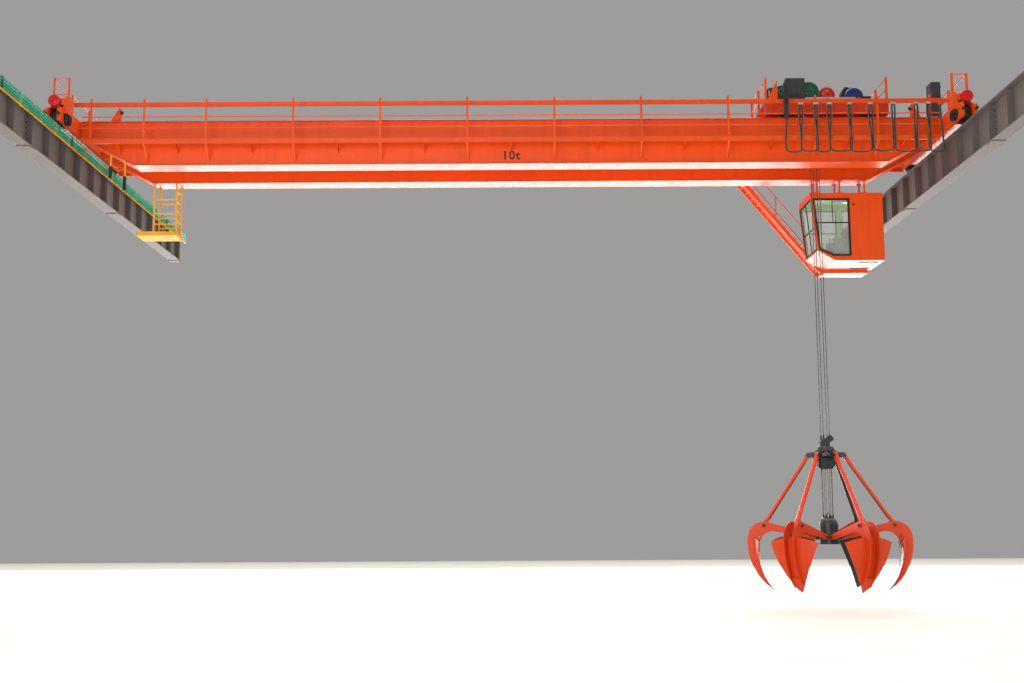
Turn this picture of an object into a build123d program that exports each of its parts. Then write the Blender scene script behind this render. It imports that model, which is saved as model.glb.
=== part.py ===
from build123d import *
import os
from math import atan2, cos, hypot, radians, sin

# Overhead travelling crane with an orange-peel grab, on its two runway beams.
# X runs across the span, Y along the runway and Z up. The origin is on the underside
# of the left runway beam, at the column seat nearest the crane. Sizes are in millimetres.

# Runway
SPAN = 25500
BAY = 7500
BAYS = 3
BAYS_IN_FRONT = 2
BEAM_DEPTH = 1080
BEAM_FLANGE = 400
BEAM_FLANGE_T = 30
BEAM_WEB_T = 20
BEAM_END = 200
BAY_STIFFENER_COUNT = 6
STIFFENER_T = 16
SEAT_PAD = 360
SEAT_PAD_T = 20
SEAT_HOLE_R = 13
SEAT_HOLES_X = 280
SEAT_HOLES_Y = 240
RAIL_HEIGHT = 140
RAIL_HEAD = 70
RAIL_FOOT = 120
RAIL_WEB = 24

# Conductor line beside the left runway beam
CONDUCTORS = 4
CONDUCTOR_PITCH = 75
CONDUCTOR_SIZE = 32
CONDUCTOR_GAP = 110
CONDUCTOR_DROP = 10
HANGER_PITCH = 2500
HANGER_T = 40

# Bridge
CRANE_Y = -2800
GIRDER_SPACING = 2000
GIRDER_BELOW_RAIL = 760
GIRDER_HEIGHT = 1320
GIRDER_FLANGE = 680
GIRDER_WEBS = 520
GIRDER_PLATE = 10
TAPER_START = 1850
WHEEL_BASE = 5000
WHEEL_R = 250
WHEEL_FLANGE_R = 275
WHEEL_WIDTH = 150
WHEEL_TREAD = 90
WHEEL_AXLE_R = 50
CARRIAGE_WIDTH = 480
CARRIAGE_POCKET = 260
CARRIAGE_ABOVE_RAIL = 100
CARRIAGE_OVERHANG = 420
CARRIAGE_NOSE = 120
CARRIAGE_PLATE = 20
TREAD_GAP = 0.3
SHAFT_FIT = 0.05
BODY_GAP = 0.3

# Walkways and rails along the girders
WALKWAY_BELOW_TOP = 660
WALKWAY_WIDTH = 520
WALKWAY_PLATE = 12
WALKWAY_EDGE = 130
STRUT_DEPTH = 420
STRUT_SIZE = 50
POST_PITCH = 2500
LAST_POST_INSET = 2220
END_POST_INSET = 700
WALKWAY_START = 450
POST_SIZE = 60
FRONT_POST_HEIGHT = 1200
REAR_POST_HEIGHT = 1100
RAIL_BAR = 34
LOW_RAIL = 330
MID_RAIL = 660
END_POST_HEIGHT = 1000
BRIDGE_CABINET = (280, 450, 1450)

# Festoon
FESTOON_ABOVE_WALKWAY = 1000
FESTOON_DEPTH = 120
FESTOON_WIDTH = 70
FESTOON_WEB = 16
FESTOON_FLANGE_T = 16
FESTOON_INSET = 200
TOW_INSET = 4880
TOW_ARM = 60
FIXED_INSET = 400
CARRIER_INSETS = (4450, 4010, 3630, 3040, 2450, 1800, 1150, 790)
CARRIER_HEIGHT = 60
CARRIER_LENGTH = 150
LOOP_DEPTH = 1400
LOOP_GAP = 2
CABLE_R = 14
CABLE_SIDES = 6

# Trolley
TROLLEY_INSET = 3500
TROLLEY_LENGTH = 3600
TROLLEY_BASE = 2400
TROLLEY_RAIL_HEIGHT = 110
TROLLEY_WHEEL_R = 175
TROLLEY_FLANGE_R = 195
TROLLEY_BEAM_WIDTH = 300
TROLLEY_BEAM_LIFT = 60
TROLLEY_DECK = 480
TROLLEY_DECK_T = 50
ROPE_INSET = 3650
DRUM_OFFSET = 300
DRUM_R = 200
DRUM_FLANGE_R = 238
DRUM_LENGTH = 1200
DRUM_FLANGE_T = 25
DRUM_SHAFT_R = 55
DRUM_AXIS_LIFT = 350
DRUM_CLEARANCE = 30
REDUCER_CENTRES = 850
REDUCER_R = 300
REDUCER_NOSE_R = 190
REDUCER_WIDTH = 280
REDUCER_GAP = 60
MOTOR_R = 200
HOIST_MOTOR_R = 280
MOTOR_LENGTH = 900
BRAKE_R = 150
BRAKE_WIDTH = 120
CABINET_INSET = 4410
CABINET_WIDTH = 560
CABINET_DEPTH = 200
CABINET_HEIGHT = 680
FENCE_HEIGHT = 700
TRAVEL_GEAR_R = 150
TRAVEL_GEAR_WIDTH = 180
TRAVEL_MOTOR_R = 110
TRAVEL_MOTOR_LENGTH = 420

# Ropes and grab
ROPE_R = 12
ROPE_SPREAD = 150
GRAB_BELOW_RAIL = 13000
GRAB_TURN = -12
HEAD_TOP = 4100
HEAD_BOTTOM = 3440
HEAD_R = 260
BRIM_R = 400
BRIM_T = 100
CAP_TOP = 4400
CAP_R = 240
ROD_TOP = (500, 3850)
SHOULDER = (1830, 1840)
TINE_PIVOT = (380, 1500)
CLOSING_LIFT = 1080
TINES = 6
PIN_R = 32
EYE_R = 75
EYE_T = 90
EYE_NECK = 110
EAR_T = 30
PIN_FIT = 0.1
ROD_R = 55
TINE_PLATE_T = 22
TINE_PLATES_GAP = 260
TINE_ARC_CENTRE = (50, 1350)
TINE_ARC_R = 2070
TINE_SPINE = 150
SHELL_T = 24
SHELL_TOP_ANGLE = 4.7
TIP_ANGLE = -40.7
TOOTH_ANGLE = 14
TOOTH_RISE = 30
CLOSING_GAP = 3
SHELL_HALF_ANGLE = 29.3
BLOCK_R = 260
BLOCK_TOP = 2065
BLOCK_BOTTOM = 1300
SKIRT_R = 300
SKIRT_TOP = 1590
FALLS = 8
FALL_R = 9
FALL_CIRCLE = 150

# Cab
CAB_INSET = 3660
CAB_LENGTH = 2200
CAB_NEAR = 700
CAB_DEPTH = 1600
CAB_ROOF_BELOW_RAIL = 1170
CAB_HEIGHT = 2080
CAB_WALL = 50
CAB_NOSE_X = 530
CAB_NOSE_Z = 300
CAB_FRONT_LEAN = 180
STAIR_WIDTH = 600
STAIR_GAP = 100
TREAD_RISE = 200
TREAD_GO = 160
TREAD_T = 24
PLATFORM_LENGTH = 1390
STAIR_FOOT = 720
STRINGER = 180
WINDOW_HEAD = 180
WINDOW_SILL = 160
WINDOW_FRAME = 60
WINDOW_LENGTH = 930
WINDOW_LEAN = 0.8
DOOR_WIDTH = 650
GLASS_T = 8
SEAT_WIDTH = 500
SEAT_HEIGHT = 480
SEAT_CUSHION = 90
SEAT_BACK = 570
SEAT_STEM = 90
CONSOLE_GAP = 50
CONSOLE_WIDTH = 250
CONSOLE_HEIGHT = 720
STAIR_RAIL_HEIGHT = 1000
HANGER_SHARES = (0.12, 0.5, 0.92)

# Maintenance cage under the left end of the rear girder
CAGE_INSET = 1410
CAGE_LENGTH = 1200
CAGE_DEPTH = 840
CAGE_BELOW_RAIL = 2350
CAGE_BAR = 45
RUNG_PITCH = 300
COLLECTOR_ARMS = ((1070, 700), (1490, 850))
ARM_HALF = 25
SLEEVE_HALF = 40

# Levels and centres worked out from the sizes above
MID = SPAN / 2
RAIL_TOP = BEAM_DEPTH + RAIL_HEIGHT
GIRDER_BOTTOM = RAIL_TOP - GIRDER_BELOW_RAIL
GIRDER_TOP = GIRDER_BOTTOM + GIRDER_HEIGHT
CARRIAGE_BOTTOM = RAIL_TOP + CARRIAGE_ABOVE_RAIL
WALKWAY_TOP = GIRDER_TOP - WALKWAY_BELOW_TOP
GIRDER_FRONT_Y = CRANE_Y - GIRDER_SPACING / 2
GIRDER_REAR_Y = CRANE_Y + GIRDER_SPACING / 2
WALKWAY_FRONT_Y = GIRDER_FRONT_Y - GIRDER_WEBS / 2 - WALKWAY_WIDTH
WALKWAY_REAR_Y = GIRDER_REAR_Y + GIRDER_WEBS / 2 + WALKWAY_WIDTH
INNER_END = CARRIAGE_WIDTH / 2
WHEEL_Z = RAIL_TOP + WHEEL_R + TREAD_GAP
TROLLEY_RAIL_TOP = GIRDER_TOP + TROLLEY_RAIL_HEIGHT
TROLLEY_AXLE_Z = TROLLEY_RAIL_TOP + TROLLEY_WHEEL_R + TREAD_GAP
DECK_TOP = TROLLEY_RAIL_TOP + TROLLEY_DECK
DRUM_Z = DECK_TOP + DRUM_AXIS_LIFT
GRAB_Z = RAIL_TOP - GRAB_BELOW_RAIL
GRAB_X = SPAN - ROPE_INSET
FESTOON_Z = WALKWAY_TOP + FESTOON_ABOVE_WALKWAY
FESTOON_Y = WALKWAY_FRONT_Y - FESTOON_WIDTH / 2
CABLE_Y = FESTOON_Y - FESTOON_WIDTH
CABLE_TOP = FESTOON_Z - FESTOON_DEPTH / 2 - CARRIER_HEIGHT
POSTS_EACH_SIDE = int((MID - LAST_POST_INSET) / POST_PITCH)
POST_POINTS = [
    side * (index + 0.5) * POST_PITCH for side in (-1, 1) for index in range(POSTS_EACH_SIDE)
] + [LAST_POST_INSET - MID, MID - LAST_POST_INSET]


def save(piece, label):
    """Label a finished piece and write it as its own STEP file."""
    piece.part.label = label
    export_step(piece.part, f"parts/{label}.step")


def block(x, y, z, mode=Mode.ADD):
    """Box between three (low, high) pairs."""
    centre = [(low + high) / 2 for low, high in (x, y, z)]
    size = [high - low for low, high in (x, y, z)]
    with Locations(tuple(centre)):
        Box(*size, mode=mode)


def slab(plane, points, thickness, mode=Mode.ADD):
    """Plate with a straight-sided outline, centred on the plane."""
    with BuildSketch(plane) as outline:
        with BuildLine():
            Polyline(*points, close=True)
        make_face()
    extrude(outline.sketch, amount=thickness / 2, both=True, mode=mode)


def bar(start, end, size, sides=8):
    """Straight bar of a few sides between two points."""
    run = Vector(*end) - Vector(*start)
    with BuildSketch(Plane(origin=start, z_dir=run)) as section:
        RegularPolygon(size / 2, sides, major_radius=False)
    extrude(section.sketch, amount=run.length)


def drum_along(plane, radius, length, mode=Mode.ADD):
    """Cylinder centred on the plane, along its normal."""
    with BuildSketch(plane) as circle:
        Circle(radius)
    extrude(circle.sketch, amount=length / 2, both=True, mode=mode)


def side_plane(y):
    """Plane facing the front, with X to the right and Z up."""
    return Plane.XZ.offset(-y)


def along_plane(x, y, z):
    """Plane that faces along the runway, with X to the right and Z up."""
    return Plane(origin=(x, y, z), x_dir=(1, 0, 0), z_dir=(0, -1, 0))


def cross_plane(x, y=0, z=0):
    """Plane across the span, with Y to the right and Z up."""
    return Plane(origin=(x, y, z), x_dir=(0, 1, 0), z_dir=(1, 0, 0))


def rail_section(plane, height, length):
    """Crane rail with a foot, a web and a head, standing on the plane's origin."""
    foot_t = height * 0.12
    head_t = height * 0.32
    outline = [
        (-RAIL_FOOT / 2, 0), (RAIL_FOOT / 2, 0), (RAIL_FOOT / 2, foot_t), (RAIL_WEB / 2, foot_t * 2),
        (RAIL_WEB / 2, height - head_t), (RAIL_HEAD / 2, height - head_t * 0.8),
        (RAIL_HEAD / 2, height - head_t * 0.15), (RAIL_HEAD * 0.4, height), (-RAIL_HEAD * 0.4, height),
        (-RAIL_HEAD / 2, height - head_t * 0.15), (-RAIL_HEAD / 2, height - head_t * 0.8),
        (-RAIL_WEB / 2, height - head_t), (-RAIL_WEB / 2, foot_t * 2), (-RAIL_FOOT / 2, foot_t),
    ]
    with BuildSketch(plane) as section:
        with BuildLine():
            Polyline(*outline, close=True)
        make_face()
    extrude(section.sketch, amount=length)


os.makedirs("parts", exist_ok=True)

# Runway
runway_front = -BAYS_IN_FRONT * BAY - BEAM_END
runway_back = (BAYS - BAYS_IN_FRONT) * BAY + BEAM_END
runway_middle = (runway_front + runway_back) / 2
runway_length = runway_back - runway_front
stiffener_pitch = BAY / BAY_STIFFENER_COUNT
beam_web = BEAM_DEPTH - SEAT_PAD_T - 2 * BEAM_FLANGE_T
beam_middle = SEAT_PAD_T + BEAM_FLANGE_T + beam_web / 2

with BuildPart() as runway_beams:
    for beam_x in (0, SPAN):
        with Locations((beam_x, runway_middle, beam_middle)):
            Box(BEAM_WEB_T, runway_length, beam_web)
            with GridLocations(0, stiffener_pitch, 1, BAYS * BAY_STIFFENER_COUNT + 1):
                Box(BEAM_FLANGE - 2 * BEAM_FLANGE_T, STIFFENER_T, beam_web)
            with Locations((0, 0, (beam_web + BEAM_FLANGE_T) / 2), (0, 0, -(beam_web + BEAM_FLANGE_T) / 2)):
                Box(BEAM_FLANGE, runway_length, BEAM_FLANGE_T)
        with Locations((beam_x, runway_middle, SEAT_PAD_T / 2)):
            with GridLocations(0, BAY, 1, BAYS + 1):
                Box(SEAT_PAD, SEAT_PAD, SEAT_PAD_T)
        with Locations((beam_x, runway_middle, SEAT_PAD_T + BEAM_FLANGE_T)):
            with GridLocations(0, BAY, 1, BAYS + 1):
                with GridLocations(SEAT_HOLES_X, SEAT_HOLES_Y, 2, 2):
                    Hole(SEAT_HOLE_R, depth=SEAT_PAD_T + BEAM_FLANGE_T)
save(runway_beams, "runway_beams")

with BuildPart() as runway_rails:
    for rail_x in (0, SPAN):
        start = Plane(origin=(rail_x, runway_back, BEAM_DEPTH), x_dir=(1, 0, 0), z_dir=(0, -1, 0))
        rail_section(start, RAIL_HEIGHT, runway_length)
save(runway_rails, "runway_rails")

with BuildPart() as conductor_line:
    flange_edge = BEAM_FLANGE / 2
    bar_x = flange_edge + CONDUCTOR_GAP
    line_top = BEAM_DEPTH - CONDUCTOR_DROP
    line_depth = CONDUCTOR_PITCH * CONDUCTORS + CONDUCTOR_SIZE
    hangers = int(runway_length / HANGER_PITCH)
    with Locations((bar_x + CONDUCTOR_SIZE / 2, runway_middle, line_top - line_depth / 2)):
        with Locations([(0, 0, (CONDUCTORS / 2 - index) * CONDUCTOR_PITCH) for index in range(CONDUCTORS + 1)]):
            Box(CONDUCTOR_SIZE, runway_length, CONDUCTOR_SIZE)
    with Locations((bar_x - HANGER_T / 2, runway_middle, line_top - line_depth / 2)):
        with GridLocations(0, HANGER_PITCH, 1, hangers):
            Box(HANGER_T, HANGER_T, line_depth)
    with Locations(((flange_edge + bar_x) / 2, runway_middle, line_top - HANGER_T / 2)):
        with GridLocations(0, HANGER_PITCH, 1, hangers):
            Box(CONDUCTOR_GAP, HANGER_T, HANGER_T)
save(conductor_line, "conductor_line")


def girder(y):
    """Box girder of two flanges and two webs, with ends that rise to the end carriages."""
    profile = [
        (INNER_END, GIRDER_TOP), (INNER_END, CARRIAGE_BOTTOM), (TAPER_START, GIRDER_BOTTOM),
        (SPAN - TAPER_START, GIRDER_BOTTOM), (SPAN - INNER_END, CARRIAGE_BOTTOM),
        (SPAN - INNER_END, GIRDER_TOP),
    ]
    overhang = (GIRDER_FLANGE - GIRDER_WEBS) / 2
    cuts = [
        (y, GIRDER_WEBS / 2 - GIRDER_PLATE),
        (y - (GIRDER_WEBS + overhang) / 2, overhang / 2),
        (y + (GIRDER_WEBS + overhang) / 2, overhang / 2),
    ]
    with BuildPart() as box:
        slab(side_plane(y), profile, GIRDER_FLANGE)
        for cut_y, half_width in cuts:
            with BuildSketch(side_plane(cut_y)) as inside:
                with BuildLine():
                    Polyline(*profile, close=True)
                make_face()
                offset(amount=-GIRDER_PLATE, kind=Kind.INTERSECTION, mode=Mode.REPLACE)
            extrude(inside.sketch, amount=half_width, both=True, mode=Mode.SUBTRACT)
    return box


save(girder(GIRDER_FRONT_Y), "front_girder")
save(girder(GIRDER_REAR_Y), "rear_girder")

with BuildPart() as trolley_rails:
    for y in (GIRDER_FRONT_Y, GIRDER_REAR_Y):
        start = Plane(origin=(INNER_END, y, GIRDER_TOP), x_dir=(0, 1, 0), z_dir=(1, 0, 0))
        rail_section(start, TROLLEY_RAIL_HEIGHT, SPAN - 2 * INNER_END)
save(trolley_rails, "trolley_rails")


with BuildPart() as end_carriages:
    front = CRANE_Y - WHEEL_BASE / 2 - CARRIAGE_OVERHANG
    back = CRANE_Y + WHEEL_BASE / 2 + CARRIAGE_OVERHANG
    nose = CARRIAGE_NOSE
    pocket = CARRIAGE_POCKET / 2
    profile = [
        (front, CARRIAGE_BOTTOM), (back, CARRIAGE_BOTTOM), (back, GIRDER_TOP - nose),
        (back - 2 * nose, GIRDER_TOP), (front + 2 * nose, GIRDER_TOP), (front, GIRDER_TOP - nose),
    ]
    for x in (0, SPAN):
        slab(cross_plane(x), profile, CARRIAGE_WIDTH)
        for side in (-1, 1):
            wheel_y = CRANE_Y + side * WHEEL_BASE / 2
            outer = wheel_y + side * (CARRIAGE_OVERHANG + nose)
            inner = wheel_y - side * (WHEEL_FLANGE_R + nose)
            block((x - pocket, x + pocket), (min(outer, inner), max(outer, inner)),
                  (CARRIAGE_BOTTOM - nose, GIRDER_TOP - CARRIAGE_PLATE), mode=Mode.SUBTRACT)
            drum_along(cross_plane(x, wheel_y, WHEEL_Z), WHEEL_AXLE_R + SHAFT_FIT,
                       CARRIAGE_WIDTH + nose, mode=Mode.SUBTRACT)
save(end_carriages, "end_carriages")


def flanged_wheel(plane, radius, flange_radius, width, tread, axle_radius, axle_length):
    """Double-flanged wheel with a dished web on its axle."""
    flange_t = (width - tread) / 2
    half = width / 2
    hub = axle_radius * 1.8
    outline = [
        (0, -axle_length / 2), (axle_radius, -axle_length / 2), (axle_radius, -half), (hub, -half),
        (hub, -half + flange_t), (radius * 0.78, -half + flange_t), (radius * 0.84, -half),
        (flange_radius, -half), (flange_radius, -half + flange_t * 0.6), (radius, -half + flange_t),
        (radius, half - flange_t), (flange_radius, half - flange_t * 0.6), (flange_radius, half),
        (radius * 0.84, half), (radius * 0.78, half - flange_t), (hub, half - flange_t),
        (hub, half), (axle_radius, half), (axle_radius, axle_length / 2), (0, axle_length / 2),
    ]
    with BuildSketch(plane) as section:
        with BuildLine():
            Polyline(*outline, close=True)
        make_face()
    revolve(section.sketch, axis=Axis(plane.origin, plane.y_dir))


for label, side in (("front_bridge_wheels", -1), ("rear_bridge_wheels", 1)):
    with BuildPart() as wheels:
        for x in (0, SPAN):
            hub_plane = Plane(origin=(x, CRANE_Y + side * WHEEL_BASE / 2, WHEEL_Z),
                              x_dir=(0, 0, 1), z_dir=(0, 1, 0))
            flanged_wheel(hub_plane, WHEEL_R, WHEEL_FLANGE_R, WHEEL_WIDTH, WHEEL_TREAD,
                          WHEEL_AXLE_R, CARRIAGE_WIDTH)
    save(wheels, label)


def walkway(outer_y, side):
    """Walkway with a floor, an outer edge channel and a strut under each post."""
    web_y = outer_y - side * WALKWAY_WIDTH
    inner_y = web_y + side * ((GIRDER_FLANGE - GIRDER_WEBS) / 2 + WALKWAY_PLATE)
    lip = WALKWAY_EDGE / 2
    plate = WALKWAY_PLATE
    section = [
        (inner_y, WALKWAY_TOP), (outer_y, WALKWAY_TOP), (outer_y, WALKWAY_TOP - WALKWAY_EDGE),
        (outer_y - side * lip, WALKWAY_TOP - WALKWAY_EDGE),
        (outer_y - side * lip, WALKWAY_TOP - WALKWAY_EDGE + plate),
        (outer_y - side * plate, WALKWAY_TOP - WALKWAY_EDGE + plate),
        (outer_y - side * plate, WALKWAY_TOP - plate), (inner_y, WALKWAY_TOP - plate),
    ]
    strut_top = WALKWAY_TOP - WALKWAY_EDGE
    strut = [
        (outer_y - side * lip / 2, strut_top), (outer_y - side * (lip / 2 + STRUT_SIZE), strut_top),
        (web_y, strut_top - STRUT_DEPTH + STRUT_SIZE), (web_y, strut_top - STRUT_DEPTH),
    ]
    with BuildPart() as floor:
        slab(cross_plane(MID), section, SPAN - 2 * WALKWAY_START)
        for point in POST_POINTS:
            slab(cross_plane(MID + point), strut, STRUT_SIZE)
    return floor


save(walkway(WALKWAY_FRONT_Y, -1), "front_walkway")
save(walkway(WALKWAY_REAR_Y, 1), "rear_walkway")

with BuildPart() as girder_handrails:
    rail_half = SPAN / 2 - WALKWAY_START
    for y, inward, height in (
        (WALKWAY_FRONT_Y, 1, FRONT_POST_HEIGHT), (WALKWAY_REAR_Y, -1, REAR_POST_HEIGHT)
    ):
        post_y = y + inward * POST_SIZE / 2
        levels = [LOW_RAIL, MID_RAIL] if inward > 0 else [LOW_RAIL, MID_RAIL, height - RAIL_BAR]
        post_points = POST_POINTS + [END_POST_INSET - MID, MID - END_POST_INSET]
        with Locations([(MID + point, post_y, WALKWAY_TOP + height / 2) for point in post_points]):
            Box(POST_SIZE, POST_SIZE, height)
        for level in levels:
            with Locations((MID, post_y, WALKWAY_TOP + level)):
                Box(2 * rail_half, RAIL_BAR, RAIL_BAR)
save(girder_handrails, "girder_handrails")

with BuildPart() as end_handrails:
    for x, outward in ((0, -1), (SPAN, 1)):
        post_x = x + outward * (CARRIAGE_WIDTH - POST_SIZE) / 2
        inner_x = x - outward * (CARRIAGE_WIDTH - POST_SIZE) / 2
        half = WHEEL_BASE / 2 - MOTOR_R - POST_SIZE
        posts = [(post_x, CRANE_Y + half * share) for share in (-1, -1 / 3, 1 / 3, 1)]
        posts += [(inner_x, CRANE_Y - half), (inner_x, CRANE_Y + half)]
        with Locations([(px, py, GIRDER_TOP + END_POST_HEIGHT / 2) for px, py in posts]):
            Box(POST_SIZE, POST_SIZE, END_POST_HEIGHT)
        for level in (END_POST_HEIGHT / 2, END_POST_HEIGHT - RAIL_BAR):
            with Locations((post_x, CRANE_Y, GIRDER_TOP + level)):
                Box(RAIL_BAR, 2 * half, RAIL_BAR)
            with Locations((x, CRANE_Y - half, GIRDER_TOP + level), (x, CRANE_Y + half, GIRDER_TOP + level)):
                Box(CARRIAGE_WIDTH - POST_SIZE, RAIL_BAR, RAIL_BAR)
save(end_handrails, "end_handrails")


def festoon_clamp(x):
    """Block under the festoon beam that holds the cables."""
    block((x - CARRIER_LENGTH / 2, x + CARRIER_LENGTH / 2),
          (CABLE_Y - FESTOON_WIDTH / 2, FESTOON_Y + FESTOON_WIDTH / 3),
          (CABLE_TOP, CABLE_TOP + CARRIER_HEIGHT))


with BuildPart() as festoon_beam:
    half_d = FESTOON_DEPTH / 2
    half_w = FESTOON_WIDTH / 2
    half_web = FESTOON_WEB / 2
    flange = FESTOON_FLANGE_T
    section = [
        (-half_w, -half_d), (half_w, -half_d), (half_w, flange - half_d), (half_web, flange - half_d),
        (half_web, half_d - flange), (half_w, half_d - flange), (half_w, half_d), (-half_w, half_d),
        (-half_w, half_d - flange), (-half_web, half_d - flange), (-half_web, flange - half_d),
        (-half_w, flange - half_d),
    ]
    origin = (FESTOON_INSET, FESTOON_Y, FESTOON_Z)
    with BuildSketch(Plane(origin=origin, x_dir=(0, 1, 0), z_dir=(1, 0, 0))) as i_section:
        with BuildLine():
            Polyline(*section, close=True)
        make_face()
    extrude(i_section.sketch, amount=SPAN - 2 * FESTOON_INSET)
    festoon_clamp(SPAN - FIXED_INSET)
save(festoon_beam, "festoon_beam")

with BuildPart() as travel_drives:
    for x, inward in ((0, 1), (SPAN, -1)):
        drive_y = CRANE_Y - WHEEL_BASE / 2
        box_x = x + inward * (CARRIAGE_WIDTH / 2 + REDUCER_GAP)
        motor_z = GIRDER_TOP + MOTOR_R
        with BuildSketch(cross_plane(box_x, drive_y, (WHEEL_Z + motor_z) / 2)) as reducer:
            SlotCenterToCenter(motor_z - WHEEL_Z, 2 * MOTOR_R, rotation=90)
        extrude(reducer.sketch, amount=REDUCER_GAP - BODY_GAP, both=True)
        motor_end = x - inward * CARRIAGE_WIDTH * 0.6
        drum_along(cross_plane((box_x + motor_end) / 2, drive_y, motor_z), MOTOR_R * 0.8,
                   abs(box_x - motor_end))
save(travel_drives, "travel_drives")

with BuildPart() as bridge_cabinet:
    cabinet_right = SPAN + INNER_END - MOTOR_R * 0.4
    block((cabinet_right - BRIDGE_CABINET[0], cabinet_right),
          (CRANE_Y - BRIDGE_CABINET[1] / 2, CRANE_Y + BRIDGE_CABINET[1] / 2),
          (GIRDER_TOP, GIRDER_TOP + BRIDGE_CABINET[2]))
save(bridge_cabinet, "bridge_cabinet")

with BuildPart() as collector_arms:
    taper = (CARRIAGE_BOTTOM - GIRDER_BOTTOM) / (TAPER_START - INNER_END)
    for x, length in COLLECTOR_ARMS:
        for half, low, high in ((ARM_HALF, length / 2, 0), (SLEEVE_HALF, length, length / 2)):
            left = GIRDER_BOTTOM + (TAPER_START - x + half) * taper
            right = GIRDER_BOTTOM + (TAPER_START - x - half) * taper
            outline = [(x - half, left - high), (x + half, right - high), (x + half, right - low),
                       (x - half, left - low)]
            slab(side_plane(GIRDER_FRONT_Y), outline, 2 * half)
save(collector_arms, "collector_arms")

with BuildPart() as maintenance_cage:
    cage_left = CAGE_INSET
    cage_right = cage_left + CAGE_LENGTH
    floor_z = RAIL_TOP - CAGE_BELOW_RAIL
    post_y = GIRDER_FLANGE / 2 - CAGE_BAR
    posts_x = (TAPER_START + CAGE_BAR, cage_right - CAGE_BAR)
    block((cage_left, cage_right), (GIRDER_REAR_Y - CAGE_DEPTH / 2, GIRDER_REAR_Y + CAGE_DEPTH / 2),
          (floor_z - CAGE_BAR, floor_z))
    post_height = GIRDER_BOTTOM - floor_z
    with Locations([(x, GIRDER_REAR_Y + side * post_y, floor_z + post_height / 2)
                    for x in posts_x for side in (-1, 1)]):
        Box(CAGE_BAR, CAGE_BAR, post_height)
    for level in (LOW_RAIL, MID_RAIL, REAR_POST_HEIGHT):
        with Locations([(sum(posts_x) / 2, GIRDER_REAR_Y + side * post_y, floor_z + level) for side in (-1, 1)]):
            Box(posts_x[1] - posts_x[0], RAIL_BAR, RAIL_BAR)
    rungs = int(post_height / RUNG_PITCH)
    with Locations([(posts_x[1], GIRDER_REAR_Y, floor_z + RUNG_PITCH * (index + 0.5)) for index in range(rungs)]):
        Box(RAIL_BAR, 2 * post_y, RAIL_BAR)
save(maintenance_cage, "maintenance_cage")

# Cab under the rear girder
cab_left = SPAN - CAB_INSET
cab_right = cab_left + CAB_LENGTH
cab_front_y = CRANE_Y + CAB_NEAR
cab_back_y = cab_front_y + CAB_DEPTH
cab_top = RAIL_TOP - CAB_ROOF_BELOW_RAIL
cab_floor = cab_top - CAB_HEIGHT
cab_middle_y = (cab_front_y + cab_back_y) / 2
nose_top = cab_floor + CAB_NOSE_Z
cab_outline = [
    (cab_left, cab_top), (cab_left + CAB_FRONT_LEAN, nose_top),
    (cab_left + CAB_FRONT_LEAN + CAB_NOSE_X, cab_floor), (cab_right, cab_floor), (cab_right, cab_top),
]
window_top = cab_top - WINDOW_HEAD
window_low = cab_floor + WINDOW_SILL
window_left = cab_left + CAB_FRONT_LEAN + WINDOW_FRAME
window_right = window_left + WINDOW_LENGTH
side_window = [
    (window_left - CAB_FRONT_LEAN * WINDOW_LEAN, window_top), (window_left, nose_top + WINDOW_FRAME),
    (window_left + CAB_NOSE_X * WINDOW_LEAN, window_low), (window_right, window_low), (window_right, window_top),
]
door_left = window_right + WINDOW_HEAD
door = [
    (door_left, cab_floor + CAB_WALL), (door_left + DOOR_WIDTH, cab_floor + CAB_WALL),
    (door_left + DOOR_WIDTH, window_top), (door_left, window_top),
]
lean = CAB_FRONT_LEAN / (cab_top - nose_top)

with BuildPart() as cab_shell:
    slab(side_plane(cab_middle_y), cab_outline, CAB_DEPTH)
    with BuildSketch(side_plane(cab_middle_y)) as room:
        with BuildLine():
            Polyline(*cab_outline, close=True)
        make_face()
        offset(amount=-CAB_WALL, kind=Kind.INTERSECTION, mode=Mode.REPLACE)
    extrude(room.sketch, amount=CAB_DEPTH / 2 - CAB_WALL, both=True, mode=Mode.SUBTRACT)
    slab(side_plane(cab_front_y), side_window, CAB_WALL * 3, mode=Mode.SUBTRACT)
    slab(side_plane(cab_back_y), side_window, CAB_WALL * 3, mode=Mode.SUBTRACT)
    slab(side_plane(cab_back_y), door, CAB_WALL * 3, mode=Mode.SUBTRACT)
    front_opening = [
        (cab_left - CAB_WALL, window_top), (cab_left + CAB_FRONT_LEAN + CAB_WALL * 1.4, window_top),
        (cab_left + CAB_FRONT_LEAN + CAB_WALL * 1.4, nose_top + WINDOW_FRAME),
        (cab_left - CAB_WALL, nose_top + WINDOW_FRAME),
    ]
    slab(side_plane(cab_middle_y), front_opening, CAB_DEPTH - 2 * WINDOW_FRAME, mode=Mode.SUBTRACT)
    hanger_points = [
        (cab_left + share * (SPAN - TAPER_START - cab_left), GIRDER_REAR_Y + side * (GIRDER_FLANGE / 2 - CAGE_BAR))
        for share in HANGER_SHARES for side in (-1, 1)
    ]
    with Locations([(x, y, (cab_top + GIRDER_BOTTOM) / 2) for x, y in hanger_points]):
        Box(CAB_WALL, CAB_WALL, GIRDER_BOTTOM - cab_top)
save(cab_shell, "cab_shell")

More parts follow.
